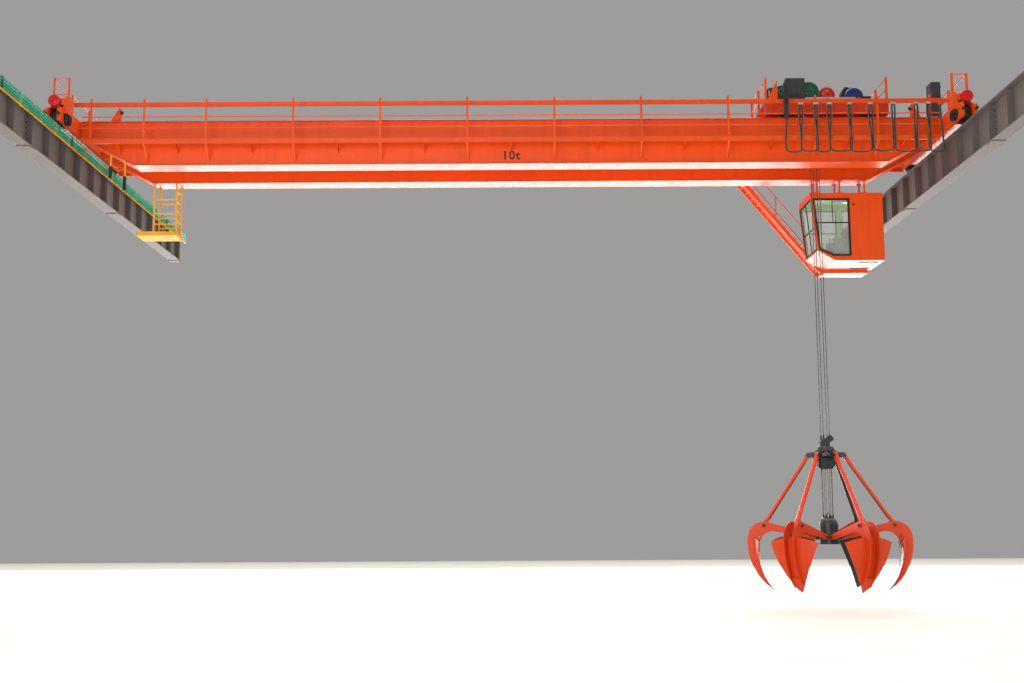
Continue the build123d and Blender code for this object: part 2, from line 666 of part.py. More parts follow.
with BuildPart() as cab_glass:
    slab(side_plane(cab_front_y + CAB_WALL / 2), side_window, GLASS_T)
    slab(side_plane(cab_back_y - CAB_WALL / 2), side_window, GLASS_T)
    top_x = cab_left + (cab_top - window_top) * lean + CAB_WALL / 2
    low_x = cab_left + (cab_top - nose_top - WINDOW_FRAME) * lean + CAB_WALL / 2
    pane = [(top_x, window_top), (top_x + GLASS_T, window_top), (low_x + GLASS_T, nose_top + WINDOW_FRAME),
            (low_x, nose_top + WINDOW_FRAME)]
    slab(side_plane(cab_middle_y), pane, CAB_DEPTH - 2 * WINDOW_FRAME)
save(cab_glass, "cab_glass")

with BuildPart() as cab_console:
    seat_x = cab_left + CAB_LENGTH / 2
    floor = cab_floor + CAB_WALL
    half_seat = SEAT_WIDTH / 2
    seat_z = floor + SEAT_HEIGHT
    block((seat_x - half_seat, seat_x + half_seat), (cab_middle_y - half_seat, cab_middle_y + half_seat),
          (seat_z - SEAT_CUSHION, seat_z))
    block((seat_x + half_seat - SEAT_CUSHION, seat_x + half_seat), (cab_middle_y - half_seat, cab_middle_y + half_seat),
          (seat_z, seat_z + SEAT_BACK))
    block((seat_x - SEAT_STEM, seat_x + SEAT_STEM), (cab_middle_y - SEAT_STEM, cab_middle_y + SEAT_STEM),
          (floor, seat_z - SEAT_CUSHION))
    for side in (-1, 1):
        near = cab_middle_y + side * (half_seat + CONSOLE_GAP)
        far = near + side * CONSOLE_WIDTH
        block((seat_x - half_seat - SEAT_STEM, seat_x + half_seat - SEAT_CUSHION), (min(near, far), max(near, far)),
              (floor, floor + CONSOLE_HEIGHT))
save(cab_console, "cab_console")

# Stair from the rear walkway down to the cab platform
stair_front = cab_back_y + STAIR_GAP
stair_back = stair_front + STAIR_WIDTH
stair_middle = (stair_front + stair_back) / 2
risers = round((WALKWAY_TOP - cab_floor) / TREAD_RISE)
rise = (WALKWAY_TOP - cab_floor) / risers
foot_x = cab_left + STAIR_FOOT
head_x = foot_x - risers * TREAD_GO

with BuildPart() as cab_stair:
    stringer = [
        (foot_x, cab_floor - STRINGER), (foot_x, cab_floor), (head_x, WALKWAY_TOP), (head_x, WALKWAY_TOP - STRINGER),
    ]
    for y in (stair_front, stair_back):
        slab(side_plane(y), stringer, TREAD_T)
    with Locations([(foot_x - (index + 0.5) * TREAD_GO, stair_middle, cab_floor + index * rise + rise / 3)
                    for index in range(risers)]):
        Box(TREAD_GO * 1.2, STAIR_WIDTH, TREAD_T)
    block((foot_x - TREAD_T, foot_x + PLATFORM_LENGTH), (stair_front - STAIR_GAP + BODY_GAP, stair_back + TREAD_T),
          (cab_floor - STRINGER / 2, cab_floor))
    block((head_x - STAIR_WIDTH, head_x + TREAD_T), (WALKWAY_REAR_Y, stair_back + TREAD_T / 2),
          (WALKWAY_TOP - STRINGER / 2, WALKWAY_TOP))
    rail_y = stair_back + TREAD_T
    lift = (0, 0, STAIR_RAIL_HEIGHT)
    landing = Vector(head_x - STAIR_WIDTH + POST_SIZE, rail_y, WALKWAY_TOP)
    corners = [landing, Vector(head_x, rail_y, WALKWAY_TOP), Vector(foot_x, rail_y, cab_floor),
               Vector(foot_x + PLATFORM_LENGTH - POST_SIZE, rail_y, cab_floor)]
    for share in (1, 1 / 2):
        for low, high in zip(corners, corners[1:]):
            bar(low + Vector(lift) * share, high + Vector(lift) * share, RAIL_BAR)
    middles = [(low + high) / 2 for low, high in zip(corners[1:], corners[2:])]
    for point in corners + middles:
        bar(point - Vector(0, 0, STRINGER / 2), point + Vector(lift), RAIL_BAR)
save(cab_stair, "cab_stair")

# Trolley
trolley_x = SPAN - TROLLEY_INSET
trolley_front = trolley_x - TROLLEY_LENGTH / 2
trolley_back = trolley_x + TROLLEY_LENGTH / 2
beam_low = TROLLEY_RAIL_TOP + TROLLEY_BEAM_LIFT
deck_low = DECK_TOP - TROLLEY_DECK_T
drum_xs = (GRAB_X - DRUM_OFFSET, GRAB_X + DRUM_OFFSET)

with BuildPart() as trolley_frame:
    half_width = GIRDER_SPACING / 2 + TROLLEY_BEAM_WIDTH / 2
    block((trolley_front, trolley_back), (CRANE_Y - half_width, CRANE_Y + half_width), (deck_low, DECK_TOP))
    well = 2 * DRUM_OFFSET + 2 * DRUM_FLANGE_R + DRUM_CLEARANCE
    block((GRAB_X - well / 2, GRAB_X + well / 2),
          (CRANE_Y - DRUM_LENGTH / 2 - DRUM_CLEARANCE, CRANE_Y + DRUM_LENGTH / 2 + DRUM_CLEARANCE),
          (beam_low, DECK_TOP + TROLLEY_DECK_T), mode=Mode.SUBTRACT)
    for y in (GIRDER_FRONT_Y, GIRDER_REAR_Y):
        half_beam = TROLLEY_BEAM_WIDTH / 2
        block((trolley_front, trolley_back), (y - half_beam, y + half_beam), (beam_low, deck_low))
        for side in (-1, 1):
            wheel_x = trolley_x + side * TROLLEY_BASE / 2
            pocket = TROLLEY_FLANGE_R + DRUM_CLEARANCE
            block((wheel_x - pocket, wheel_x + pocket), (y - WHEEL_WIDTH / 2 - 10, y + WHEEL_WIDTH / 2 + 10),
                  (beam_low - 10, deck_low - 10), mode=Mode.SUBTRACT)
    for side in (-1, 1):
        wheel_x = trolley_x + side * TROLLEY_BASE / 2
        drum_along(along_plane(wheel_x, CRANE_Y, TROLLEY_AXLE_Z), DRUM_SHAFT_R + SHAFT_FIT,
                   3 * half_width, mode=Mode.SUBTRACT)
save(trolley_frame, "trolley_frame")


with BuildPart() as trolley_travel_drive:
    gear_x = trolley_x - TROLLEY_BASE / 2
    gear_low = TROLLEY_AXLE_Z - TRAVEL_GEAR_R
    with BuildSketch(along_plane(0, CRANE_Y, 0)) as gear_case:
        with Locations((gear_x, TROLLEY_AXLE_Z)):
            Circle(TRAVEL_GEAR_R)
        with Locations((gear_x - TRAVEL_GEAR_R, DECK_TOP - TROLLEY_DECK_T - TRAVEL_GEAR_R / 2 - BODY_GAP)):
            Rectangle(2 * TRAVEL_GEAR_R, TRAVEL_GEAR_R)
    extrude(gear_case.sketch, amount=TRAVEL_GEAR_WIDTH / 2, both=True)
    drum_along(along_plane(gear_x, CRANE_Y, TROLLEY_AXLE_Z), DRUM_SHAFT_R + SHAFT_FIT, 2 * TRAVEL_GEAR_WIDTH,
               mode=Mode.SUBTRACT)
    motor_y = CRANE_Y - (TRAVEL_GEAR_WIDTH + TRAVEL_MOTOR_LENGTH) / 2
    drum_along(along_plane(gear_x - TRAVEL_GEAR_R, motor_y, DECK_TOP - TROLLEY_DECK_T - TRAVEL_MOTOR_R - BODY_GAP),
               TRAVEL_MOTOR_R, TRAVEL_MOTOR_LENGTH)
save(trolley_travel_drive, "trolley_travel_drive")


def trolley_axle(x, label):
    """Two trolley wheels on one axle across the trolley."""
    with BuildPart() as axle:
        for y in (GIRDER_FRONT_Y, GIRDER_REAR_Y):
            hub_plane = Plane(origin=(x, y, TROLLEY_AXLE_Z), x_dir=(0, 0, 1), z_dir=(-1, 0, 0))
            flanged_wheel(hub_plane, TROLLEY_WHEEL_R, TROLLEY_FLANGE_R, WHEEL_WIDTH - 20, WHEEL_TREAD,
                          DRUM_SHAFT_R, TROLLEY_BEAM_WIDTH)
        drum_along(along_plane(x, CRANE_Y, TROLLEY_AXLE_Z), DRUM_SHAFT_R, GIRDER_SPACING)
    save(axle, label)


trolley_axle(trolley_x - TROLLEY_BASE / 2, "trolley_drive_axle")
trolley_axle(trolley_x + TROLLEY_BASE / 2, "trolley_idle_axle")

# Hoists: each drum, its reducer, its motor and its brake; the two hoists face opposite ways
holding = (drum_xs[0], -1)
closing = (drum_xs[1], 1)
drum_half = DRUM_LENGTH / 2
reducer_offset = drum_half + REDUCER_GAP + REDUCER_WIDTH / 2

for label, (x, side) in (("holding_drum", holding), ("closing_drum", closing)):
    with BuildPart() as drum:
        shaft_length = DRUM_LENGTH + 2 * REDUCER_GAP + REDUCER_WIDTH
        drum_along(along_plane(x, CRANE_Y, DRUM_Z), DRUM_R, DRUM_LENGTH)
        for end in (-1, 1):
            drum_along(along_plane(x, CRANE_Y + end * (drum_half - DRUM_FLANGE_T), DRUM_Z),
                       DRUM_FLANGE_R, DRUM_FLANGE_T)
        drum_along(along_plane(x, CRANE_Y, DRUM_Z), DRUM_SHAFT_R, shaft_length)
    save(drum, label)

with BuildPart() as hoist_reducers:
    for x, side in (holding, closing):
        y = CRANE_Y + side * reducer_offset
        motor_x = x + side * REDUCER_CENTRES
        with BuildSketch(along_plane(0, y, 0)) as case:
            with Locations((x, DRUM_Z)):
                Circle(REDUCER_R)
            with Locations((motor_x, DRUM_Z)):
                Circle(REDUCER_NOSE_R)
            make_hull()
            for foot_x, foot_width in ((x, REDUCER_R), (motor_x, REDUCER_NOSE_R)):
                with Locations((foot_x, (DECK_TOP + DRUM_Z) / 2)):
                    Rectangle(foot_width, DRUM_Z - DECK_TOP)
        extrude(case.sketch, amount=REDUCER_WIDTH / 2, both=True)
        drum_along(along_plane(x, y, DRUM_Z), DRUM_SHAFT_R + SHAFT_FIT, 2 * REDUCER_WIDTH, mode=Mode.SUBTRACT)
save(hoist_reducers, "hoist_reducers")

with BuildPart() as drum_pedestals:
    for x, side in (holding, closing):
        y = CRANE_Y - side * (drum_half + REDUCER_GAP)
        width = REDUCER_GAP
        outline = [(x - 3 * width, DECK_TOP), (x + 3 * width, DECK_TOP), (x + 1.6 * width, DRUM_Z + 1.6 * width),
                   (x - 1.6 * width, DRUM_Z + 1.6 * width)]
        slab(along_plane(0, y, 0), outline, width)
        drum_along(along_plane(x, y, DRUM_Z), DRUM_SHAFT_R + SHAFT_FIT, 2 * width, mode=Mode.SUBTRACT)
save(drum_pedestals, "drum_pedestals")

brake_y = reducer_offset - REDUCER_WIDTH / 2 - BRAKE_WIDTH
motor_y = brake_y - BRAKE_WIDTH - MOTOR_LENGTH / 2
with BuildPart() as hoist_motors:
    for x, side in (holding, closing):
        motor_x = x + side * REDUCER_CENTRES
        y = CRANE_Y + side * motor_y
        drum_along(along_plane(motor_x, y, DRUM_Z), HOIST_MOTOR_R, MOTOR_LENGTH)
        block((motor_x - HOIST_MOTOR_R, motor_x + HOIST_MOTOR_R), (y - MOTOR_LENGTH * 0.3, y + MOTOR_LENGTH * 0.3),
              (DECK_TOP, DRUM_Z - HOIST_MOTOR_R / 2))
        low = CRANE_Y + side * (motor_y + MOTOR_LENGTH / 2)
        high = CRANE_Y + side * (reducer_offset - REDUCER_WIDTH / 2)
        drum_along(along_plane(motor_x, (low + high) / 2, DRUM_Z), DRUM_SHAFT_R, abs(high - low))
save(hoist_motors, "hoist_motors")

with BuildPart() as hoist_brakes:
    for x, side in (holding, closing):
        motor_x = x + side * REDUCER_CENTRES
        y = CRANE_Y + side * brake_y
        drum_along(along_plane(motor_x, y, DRUM_Z), BRAKE_R, BRAKE_WIDTH)
        for arm in (-1, 1):
            near = motor_x + arm * (BRAKE_R - DRUM_CLEARANCE)
            far = motor_x + arm * (BRAKE_R + 2 * DRUM_CLEARANCE)
            block((min(near, far), max(near, far)), (y - BRAKE_WIDTH / 3, y + BRAKE_WIDTH / 3),
                  (DECK_TOP, DRUM_Z + BRAKE_R * 0.6))
        drum_along(along_plane(motor_x, y, DRUM_Z), DRUM_SHAFT_R, 2 * BRAKE_WIDTH, mode=Mode.SUBTRACT)
save(hoist_brakes, "hoist_brakes")

with BuildPart() as trolley_cabinet:
    cabinet_x = SPAN - CABINET_INSET
    block((cabinet_x - CABINET_WIDTH / 2, cabinet_x + CABINET_WIDTH / 2),
          (CRANE_Y - half_width, CRANE_Y - half_width + CABINET_DEPTH), (DECK_TOP, DECK_TOP + CABINET_HEIGHT))
save(trolley_cabinet, "trolley_cabinet")

with BuildPart() as trolley_handrails:
    for x in (trolley_front + POST_SIZE / 2, trolley_back - POST_SIZE / 2):
        with Locations([(x, CRANE_Y + share * (half_width - POST_SIZE), DECK_TOP + FENCE_HEIGHT / 2)
                        for share in (-1, 0, 1)]):
            Box(POST_SIZE, POST_SIZE, FENCE_HEIGHT)
        for level in (FENCE_HEIGHT / 2, FENCE_HEIGHT - RAIL_BAR):
            with Locations((x, CRANE_Y, DECK_TOP + level)):
                Box(RAIL_BAR, 2 * half_width - 2 * POST_SIZE, RAIL_BAR)
save(trolley_handrails, "trolley_handrails")

with BuildPart() as tow_arm:
    tow_x = SPAN - TOW_INSET
    arm_y = CABLE_Y - CABLE_R - TOW_ARM - BODY_GAP
    block((tow_x - TOW_ARM, tow_x + TOW_ARM), (arm_y - TOW_ARM, arm_y + TOW_ARM),
          (CABLE_TOP - 7 * TOW_ARM, DECK_TOP + 4 * TOW_ARM))
    block((tow_x - TOW_ARM, tow_x + TOW_ARM), (arm_y, CRANE_Y - half_width), (deck_low, DECK_TOP))
save(tow_arm, "tow_arm")

# Ropes from the drums to the grab
cap_top = GRAB_Z + CAP_TOP
rope_inset = DRUM_OFFSET - DRUM_R - ROPE_R - BODY_GAP
with BuildPart() as hoist_ropes:
    for x in (GRAB_X - rope_inset, GRAB_X + rope_inset):
        for y in (CRANE_Y - ROPE_SPREAD, CRANE_Y + ROPE_SPREAD):
            with Locations((x, y, (cap_top + DRUM_Z) / 2)):
                Cylinder(ROPE_R, DRUM_Z - cap_top - 2 * BODY_GAP)
save(hoist_ropes, "hoist_ropes")


def grab_point(radial, height, tangent=0, angle=0):
    """Place on the grab: distance from its axis, height over the tips, and the tine's angle."""
    turn = radians(angle)
    return (GRAB_X + radial * cos(turn) - tangent * sin(turn),
            CRANE_Y + radial * sin(turn) + tangent * cos(turn), GRAB_Z + height)


def radial_plane(angle, tangent=0):
    """Upright plane through the grab's axis, with X outwards and Y up."""
    turn = radians(angle)
    return Plane(origin=grab_point(0, 0, tangent, angle), x_dir=(cos(turn), sin(turn), 0),
                 z_dir=(sin(turn), -cos(turn), 0))


def disc(plane, point, radius, thickness, mode=Mode.ADD):
    """Round plate centred on a point of the plane."""
    with BuildSketch(plane) as circle:
        with Locations(point):
            Circle(radius)
    extrude(circle.sketch, amount=thickness / 2, both=True, mode=mode)


tine_angles = [GRAB_TURN + index * 360 / TINES for index in range(TINES)]
ear_offset = (EYE_T + EAR_T) / 2 + 2

with BuildPart() as grab_head:
    with Locations((GRAB_X, CRANE_Y, GRAB_Z + (HEAD_TOP + HEAD_BOTTOM) / 2)):
        Cylinder(HEAD_R, HEAD_TOP - HEAD_BOTTOM)
    with Locations((GRAB_X, CRANE_Y, GRAB_Z + ROD_TOP[1])):
        Cylinder(BRIM_R, BRIM_T)
    equaliser = [(-CAP_R, HEAD_TOP), (CAP_R, HEAD_TOP), (CAP_R, CAP_TOP - CAP_R / 3), (CAP_R * 2 / 3, CAP_TOP),
                 (-CAP_R * 2 / 3, CAP_TOP), (-CAP_R, CAP_TOP - CAP_R / 3)]
    slab(radial_plane(0), equaliser, 2 * ROPE_SPREAD + 4 * ROPE_R)
    for angle in tine_angles:
        for side in (-1, 1):
            with BuildSketch(radial_plane(angle, side * ear_offset)) as ear:
                with Locations(ROD_TOP):
                    Circle(EYE_R)
                with Locations((BRIM_R - 2 * EYE_R, ROD_TOP[1])):
                    Circle(EYE_R)
                make_hull()
            extrude(ear.sketch, amount=EAR_T / 2, both=True)
        disc(radial_plane(angle), ROD_TOP, PIN_R, EYE_T + 2 * EAR_T + 4)
save(grab_head, "grab_head")

with BuildPart() as lower_block:
    with Locations((GRAB_X, CRANE_Y, GRAB_Z + (BLOCK_TOP + BLOCK_BOTTOM) / 2)):
        Cylinder(BLOCK_R, BLOCK_TOP - BLOCK_BOTTOM)
    fillet(lower_block.faces().sort_by(Axis.Z)[-1].edges(), BLOCK_R * 0.8)
    with Locations((GRAB_X, CRANE_Y, GRAB_Z + (BLOCK_TOP + BLOCK_BOTTOM) / 2)):
        Cylinder(FALL_CIRCLE + 2 * FALL_R, BLOCK_TOP - BLOCK_BOTTOM)
    with Locations((GRAB_X, CRANE_Y, GRAB_Z + (SKIRT_TOP + BLOCK_BOTTOM) / 2)):
        Cylinder(SKIRT_R, SKIRT_TOP - BLOCK_BOTTOM)
    for angle in tine_angles:
        with BuildSketch(radial_plane(angle)) as lug:
            with Locations(TINE_PIVOT):
                Circle(EYE_R)
            with Locations((BLOCK_R - EYE_R, TINE_PIVOT[1])):
                Circle(EYE_R)
            make_hull()
        extrude(lug.sketch, amount=TINE_PLATES_GAP / 2 - 2, both=True)
        disc(radial_plane(angle), TINE_PIVOT, PIN_R, TINE_PLATES_GAP + 2 * TINE_PLATE_T + 8)
save(lower_block, "lower_block")

with BuildPart() as closing_falls:
    with Locations((GRAB_X, CRANE_Y, GRAB_Z + (HEAD_BOTTOM + BLOCK_TOP) / 2)):
        with PolarLocations(FALL_CIRCLE, FALLS):
            Cylinder(FALL_R, HEAD_BOTTOM - BLOCK_TOP - 2 * BODY_GAP)
save(closing_falls, "closing_falls")

# Closed pose of a tine, from the rod and the lower block's lift
rod_length = hypot(SHOULDER[0] - ROD_TOP[0], SHOULDER[1] - ROD_TOP[1])
arm_length = hypot(SHOULDER[0] - TINE_PIVOT[0], SHOULDER[1] - TINE_PIVOT[1])
closed_pivot = (TINE_PIVOT[0], TINE_PIVOT[1] + CLOSING_LIFT)
pivot_run = hypot(ROD_TOP[0] - closed_pivot[0], ROD_TOP[1] - closed_pivot[1])
along = (rod_length ** 2 - arm_length ** 2 + pivot_run ** 2) / (2 * pivot_run)
across = (rod_length ** 2 - along ** 2) ** 0.5
unit = ((closed_pivot[0] - ROD_TOP[0]) / pivot_run, (closed_pivot[1] - ROD_TOP[1]) / pivot_run)
closed_shoulder = (ROD_TOP[0] + along * unit[0] - across * unit[1], ROD_TOP[1] + along * unit[1] + across * unit[0])
open_direction = atan2(SHOULDER[1] - TINE_PIVOT[1], SHOULDER[0] - TINE_PIVOT[0])
closed_direction = atan2(closed_shoulder[1] - closed_pivot[1], closed_shoulder[0] - closed_pivot[0])
tine_turn = closed_direction - open_direction

# The grab's axis, seen from an open tine
axis_cos = cos(-tine_turn)
axis_sin = sin(-tine_turn)
axis_point = (SHOULDER[0] - closed_shoulder[0] * axis_cos, SHOULDER[1] - closed_shoulder[0] * axis_sin)
tip_angle = radians(TIP_ANGLE)
top_angle = radians(SHELL_TOP_ANGLE)


def arc_point(radius, angle):
    """Point on an arc about the centre of a tine's curve."""
    return (TINE_ARC_CENTRE[0] + radius * cos(angle), TINE_ARC_CENTRE[1] + radius * sin(angle))


with BuildPart() as tine:
    plane = radial_plane(0)
    inner_r = TINE_ARC_R - SHELL_T
    middle = (tip_angle + top_angle) / 2
    with BuildSketch(plane) as band:
        with BuildLine():
            outer = ThreePointArc(arc_point(TINE_ARC_R, tip_angle), arc_point(TINE_ARC_R, middle),
                                  arc_point(TINE_ARC_R, top_angle))
            inner = ThreePointArc(arc_point(inner_r, tip_angle), arc_point(inner_r, middle),
                                  arc_point(inner_r, top_angle))
            Line(outer @ 0, inner @ 0)
            Line(outer @ 1, inner @ 1)
        make_face()
    closing_axis = Axis(grab_point(*axis_point), plane.x_dir * -axis_sin + plane.y_dir * axis_cos)
    half_band = band.sketch.rotate(closing_axis, -SHELL_HALF_ANGLE)
    revolve(half_band, axis=closing_axis, revolution_arc=2 * SHELL_HALF_ANGLE)
    spine_r = TINE_ARC_R + TINE_SPINE
    shoulder_angle = atan2(SHOULDER[1] - TINE_ARC_CENTRE[1], SHOULDER[0] - TINE_ARC_CENTRE[0])
    crown_end = (SHOULDER[0], SHOULDER[1] + EYE_R * 1.5)
    # The plates and the tooth start as blunt edges within the shell's thickness
    tip_inner = arc_point(inner_r + SHELL_T / 3, tip_angle)
    tip_outer = arc_point(TINE_ARC_R - SHELL_T / 3, tip_angle)
    for side in (-1, 1):
        offset_y = side * (TINE_PLATES_GAP + TINE_PLATE_T) / 2
        with BuildSketch(radial_plane(0, offset_y)) as spine:
            with BuildLine():
                back = ThreePointArc(tip_outer, arc_point(spine_r, middle),
                                     arc_point(spine_r + TINE_SPINE / 4, top_angle))
                crown = TangentArc(back @ 1, crown_end, tangent=back % 1)
                front = ThreePointArc(tip_inner, arc_point(inner_r, middle),
                                      arc_point(inner_r - TINE_SPINE, shoulder_angle))
                Line(back @ 0, front @ 0)
                Line(crown @ 1, front @ 1)
            make_face()
            with BuildSketch(mode=Mode.PRIVATE) as arm:
                with Locations(SHOULDER):
                    Circle(EYE_R * 1.5)
                with Locations(TINE_PIVOT):
                    Circle(EYE_R)
                make_hull()
            add(arm.sketch)
            with Locations(TINE_PIVOT):
                Circle(PIN_R + PIN_FIT, mode=Mode.SUBTRACT)
        extrude(spine.sketch, amount=TINE_PLATE_T / 2, both=True)
        cap_y = side * (TINE_PLATES_GAP / 2 + TINE_PLATE_T + TINE_PLATE_T / 2)
        disc(radial_plane(0, cap_y), SHOULDER, EYE_R, TINE_PLATE_T)
    tooth_top = tip_angle + radians(TOOTH_ANGLE)
    tooth_middle = tip_angle + radians(TOOTH_ANGLE) / 2
    with BuildSketch(plane) as tooth:
        with BuildLine():
            back = ThreePointArc(tip_outer, arc_point(TINE_ARC_R + TOOTH_RISE, tooth_middle),
                                 arc_point(TINE_ARC_R + 1.5 * TOOTH_RISE, tooth_top))
            front = Line(tip_inner, arc_point(inner_r + SHELL_T / 3, tooth_top))
            Line(back @ 0, front @ 0)
            Line(back @ 1, front @ 1)
        make_face()
    extrude(tooth.sketch, amount=TINE_PLATES_GAP / 2 + TINE_PLATE_T, both=True)
    outwards = plane.x_dir * axis_cos + plane.y_dir * axis_sin
    share = Plane(origin=closing_axis.position, x_dir=outwards, z_dir=closing_axis.direction)
    half_share = radians(180 / TINES)
    apex = CLOSING_GAP / sin(half_share)
    reach = 2 * TINE_ARC_R
    with BuildSketch(share) as wedge:
        with BuildLine():
            Polyline((apex, 0), (apex + reach * cos(half_share), reach * sin(half_share)),
                     (apex + reach * cos(half_share), -reach * sin(half_share)), close=True)
        make_face()
    extrude(wedge.sketch, amount=2 * reach, both=True, mode=Mode.INTERSECT)

with BuildPart() as rod:
    rod_unit = ((SHOULDER[0] - ROD_TOP[0]) / rod_length, (SHOULDER[1] - ROD_TOP[1]) / rod_length)
    tube_ends = []
    for pin, sense in ((ROD_TOP, 1), (SHOULDER, -1)):
        neck = [pin[axis] + sense * EYE_NECK * rod_unit[axis] for axis in (0, 1)]
        tube_ends.append(grab_point(*neck))
        with BuildSketch(radial_plane(0)) as eye:
            with Locations(pin):
                Circle(EYE_R)
            with Locations((neck[0] + sense * EYE_T * rod_unit[0], neck[1] + sense * EYE_T * rod_unit[1])):
                Circle(ROD_R)
            make_hull()
        extrude(eye.sketch, amount=EYE_T / 2, both=True)
    bar(tube_ends[0], tube_ends[1], 2 * ROD_R, sides=12)
    disc(radial_plane(0), ROD_TOP, PIN_R + PIN_FIT, 2 * EYE_T, mode=Mode.SUBTRACT)

for index, angle in enumerate(tine_angles, start=1):
    for label, master in (("tine", tine), ("rod", rod)):
        with BuildPart() as copy:
            add(master.part.rotate(Axis((GRAB_X, CRANE_Y, 0), (0, 0, 1)), angle))
        save(copy, f"{label}_{index}")

# Festoon cables and their carriers
carrier_xs = [SPAN - inset for inset in CARRIER_INSETS]
clamp_xs = [SPAN - TOW_INSET] + carrier_xs + [SPAN - FIXED_INSET]
with BuildPart() as festoon_cables:
    for left, right in zip(clamp_xs, clamp_xs[1:]):
        middle = (left + right) / 2
        radius = (right - left) / 2 - CABLE_R - LOOP_GAP
        arc_z = CABLE_TOP - LOOP_DEPTH + radius
        with BuildLine() as path:
            Line((middle - radius, CABLE_Y, CABLE_TOP), (middle - radius, CABLE_Y, arc_z))
            ThreePointArc((middle - radius, CABLE_Y, arc_z), (middle, CABLE_Y, arc_z - radius),
                          (middle + radius, CABLE_Y, arc_z))
            Line((middle + radius, CABLE_Y, arc_z), (middle + radius, CABLE_Y, CABLE_TOP))
        with BuildSketch(Plane(origin=(middle - radius, CABLE_Y, CABLE_TOP), z_dir=(0, 0, -1))) as section:
            RegularPolygon(CABLE_R, CABLE_SIDES)
        sweep(section.sketch, path=path.line)
save(festoon_cables, "festoon_cables")

for index, x in enumerate(carrier_xs, start=1):
    with BuildPart() as carrier:
        block((x - CARRIER_LENGTH / 2, x + CARRIER_LENGTH / 2),
              (CABLE_Y - FESTOON_WIDTH / 2, FESTOON_Y + FESTOON_WIDTH / 3),
              (CABLE_TOP, CABLE_TOP + CARRIER_HEIGHT - BODY_GAP))
    save(carrier, f"festoon_carrier_{index}")
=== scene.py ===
from math import atan2, cos, pi, radians, sin

import bmesh
import bpy
from bpy.props import FloatProperty, FloatVectorProperty, IntProperty, PointerProperty
from mathutils import Matrix, Vector


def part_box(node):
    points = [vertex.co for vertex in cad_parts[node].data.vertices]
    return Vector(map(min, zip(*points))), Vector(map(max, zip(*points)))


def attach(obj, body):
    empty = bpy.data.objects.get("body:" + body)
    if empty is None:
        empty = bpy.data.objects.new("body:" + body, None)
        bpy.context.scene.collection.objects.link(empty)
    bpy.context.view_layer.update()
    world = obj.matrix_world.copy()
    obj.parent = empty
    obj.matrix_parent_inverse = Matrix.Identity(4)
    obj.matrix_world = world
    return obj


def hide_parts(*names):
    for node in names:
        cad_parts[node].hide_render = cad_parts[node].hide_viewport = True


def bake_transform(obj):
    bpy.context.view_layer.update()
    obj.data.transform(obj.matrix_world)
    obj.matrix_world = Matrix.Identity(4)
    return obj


bl_info = {
    "name": "Overhead grab crane",
    "version": (1, 0, 0),
    "blender": (4, 5, 0),
    "location": "3D View > Sidebar > Crane",
    "description": "Dresses an overhead travelling crane with its runway, cab and orange-peel grab",
    "category": "Add Mesh",
}

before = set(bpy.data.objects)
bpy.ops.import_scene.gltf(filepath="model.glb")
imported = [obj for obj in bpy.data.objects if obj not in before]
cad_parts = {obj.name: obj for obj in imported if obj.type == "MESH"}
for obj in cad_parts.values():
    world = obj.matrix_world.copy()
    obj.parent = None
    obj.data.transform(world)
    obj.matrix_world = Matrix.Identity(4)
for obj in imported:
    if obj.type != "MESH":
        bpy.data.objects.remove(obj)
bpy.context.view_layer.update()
X, Y, Z = range(3)
X_AXIS = Vector((1, 0, 0))
Y_AXIS = Vector((0, 1, 0))
Z_AXIS = Vector((0, 0, 1))
UNTURNED = (0, 0, 0)


def middle_of(box, axis):
    """Middle of a box along one of the axes."""
    return (box[0][axis] + box[1][axis]) / 2


def about(centre, half):
    """Low and high place, each half a width away from the centre."""
    return centre - half, centre + half


def beside(face, reach):
    """Low and high place of what stands on a face, on the side that the reach's sign says."""
    return sorted((face, face + reach))


# Places shared by several pieces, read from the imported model, in metres
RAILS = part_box("runway_rails")
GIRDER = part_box("front_girder")
REAR_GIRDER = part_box("rear_girder")
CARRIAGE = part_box("end_carriages")
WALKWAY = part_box("front_walkway")
REAR_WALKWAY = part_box("rear_walkway")
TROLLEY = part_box("trolley_frame")
FESTOON_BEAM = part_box("festoon_beam")
SPAN = RAILS[1].x + RAILS[0].x
MID = SPAN / 2
RAIL_TOP = RAILS[1].z
CRANE_Y = (GIRDER[0].y + REAR_GIRDER[1].y) / 2
FRONT_Y = middle_of(GIRDER, Y)
REAR_Y = middle_of(REAR_GIRDER, Y)
DECK_TOP = TROLLEY[1].z
GIRDER_TOP = GIRDER[1].z
GIRDER_LOW = GIRDER[0].z
WALK_TOP = WALKWAY[1].z
GRAB_X = middle_of(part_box("grab_head"), X)
DRUM_BOXES = [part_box("holding_drum"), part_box("closing_drum")]
DRUM_Z = middle_of(DRUM_BOXES[0], Z)
AXLE_BOXES = [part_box("trolley_drive_axle"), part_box("trolley_idle_axle")]
WHEEL_BOXES = [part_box("front_bridge_wheels"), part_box("rear_bridge_wheels")]
WHEEL_YS = [middle_of(box, Y) for box in WHEEL_BOXES]
WHEEL_Z = middle_of(WHEEL_BOXES[0], Z)

# Sizes and places that several pieces share
TUBE_SIDES = 10
HANGER_YS = about(REAR_Y, 0.295)
CAB_FLOOR = -2.03
CAB_INNER_FLOOR = -1.98
ROPE_X = 0.0877
ROPE_Y = 0.15
FALLS_RADIUS = 0.15
FALLS = 8


def tint(name, description, default):
    """Colour that can be changed in the panel."""
    return FloatVectorProperty(name=name, description=description, subtype="COLOR", default=default)


def metres(name, description, default):
    """Length that can be changed in the panel."""
    return FloatProperty(name=name, description=description, unit="LENGTH", default=default)


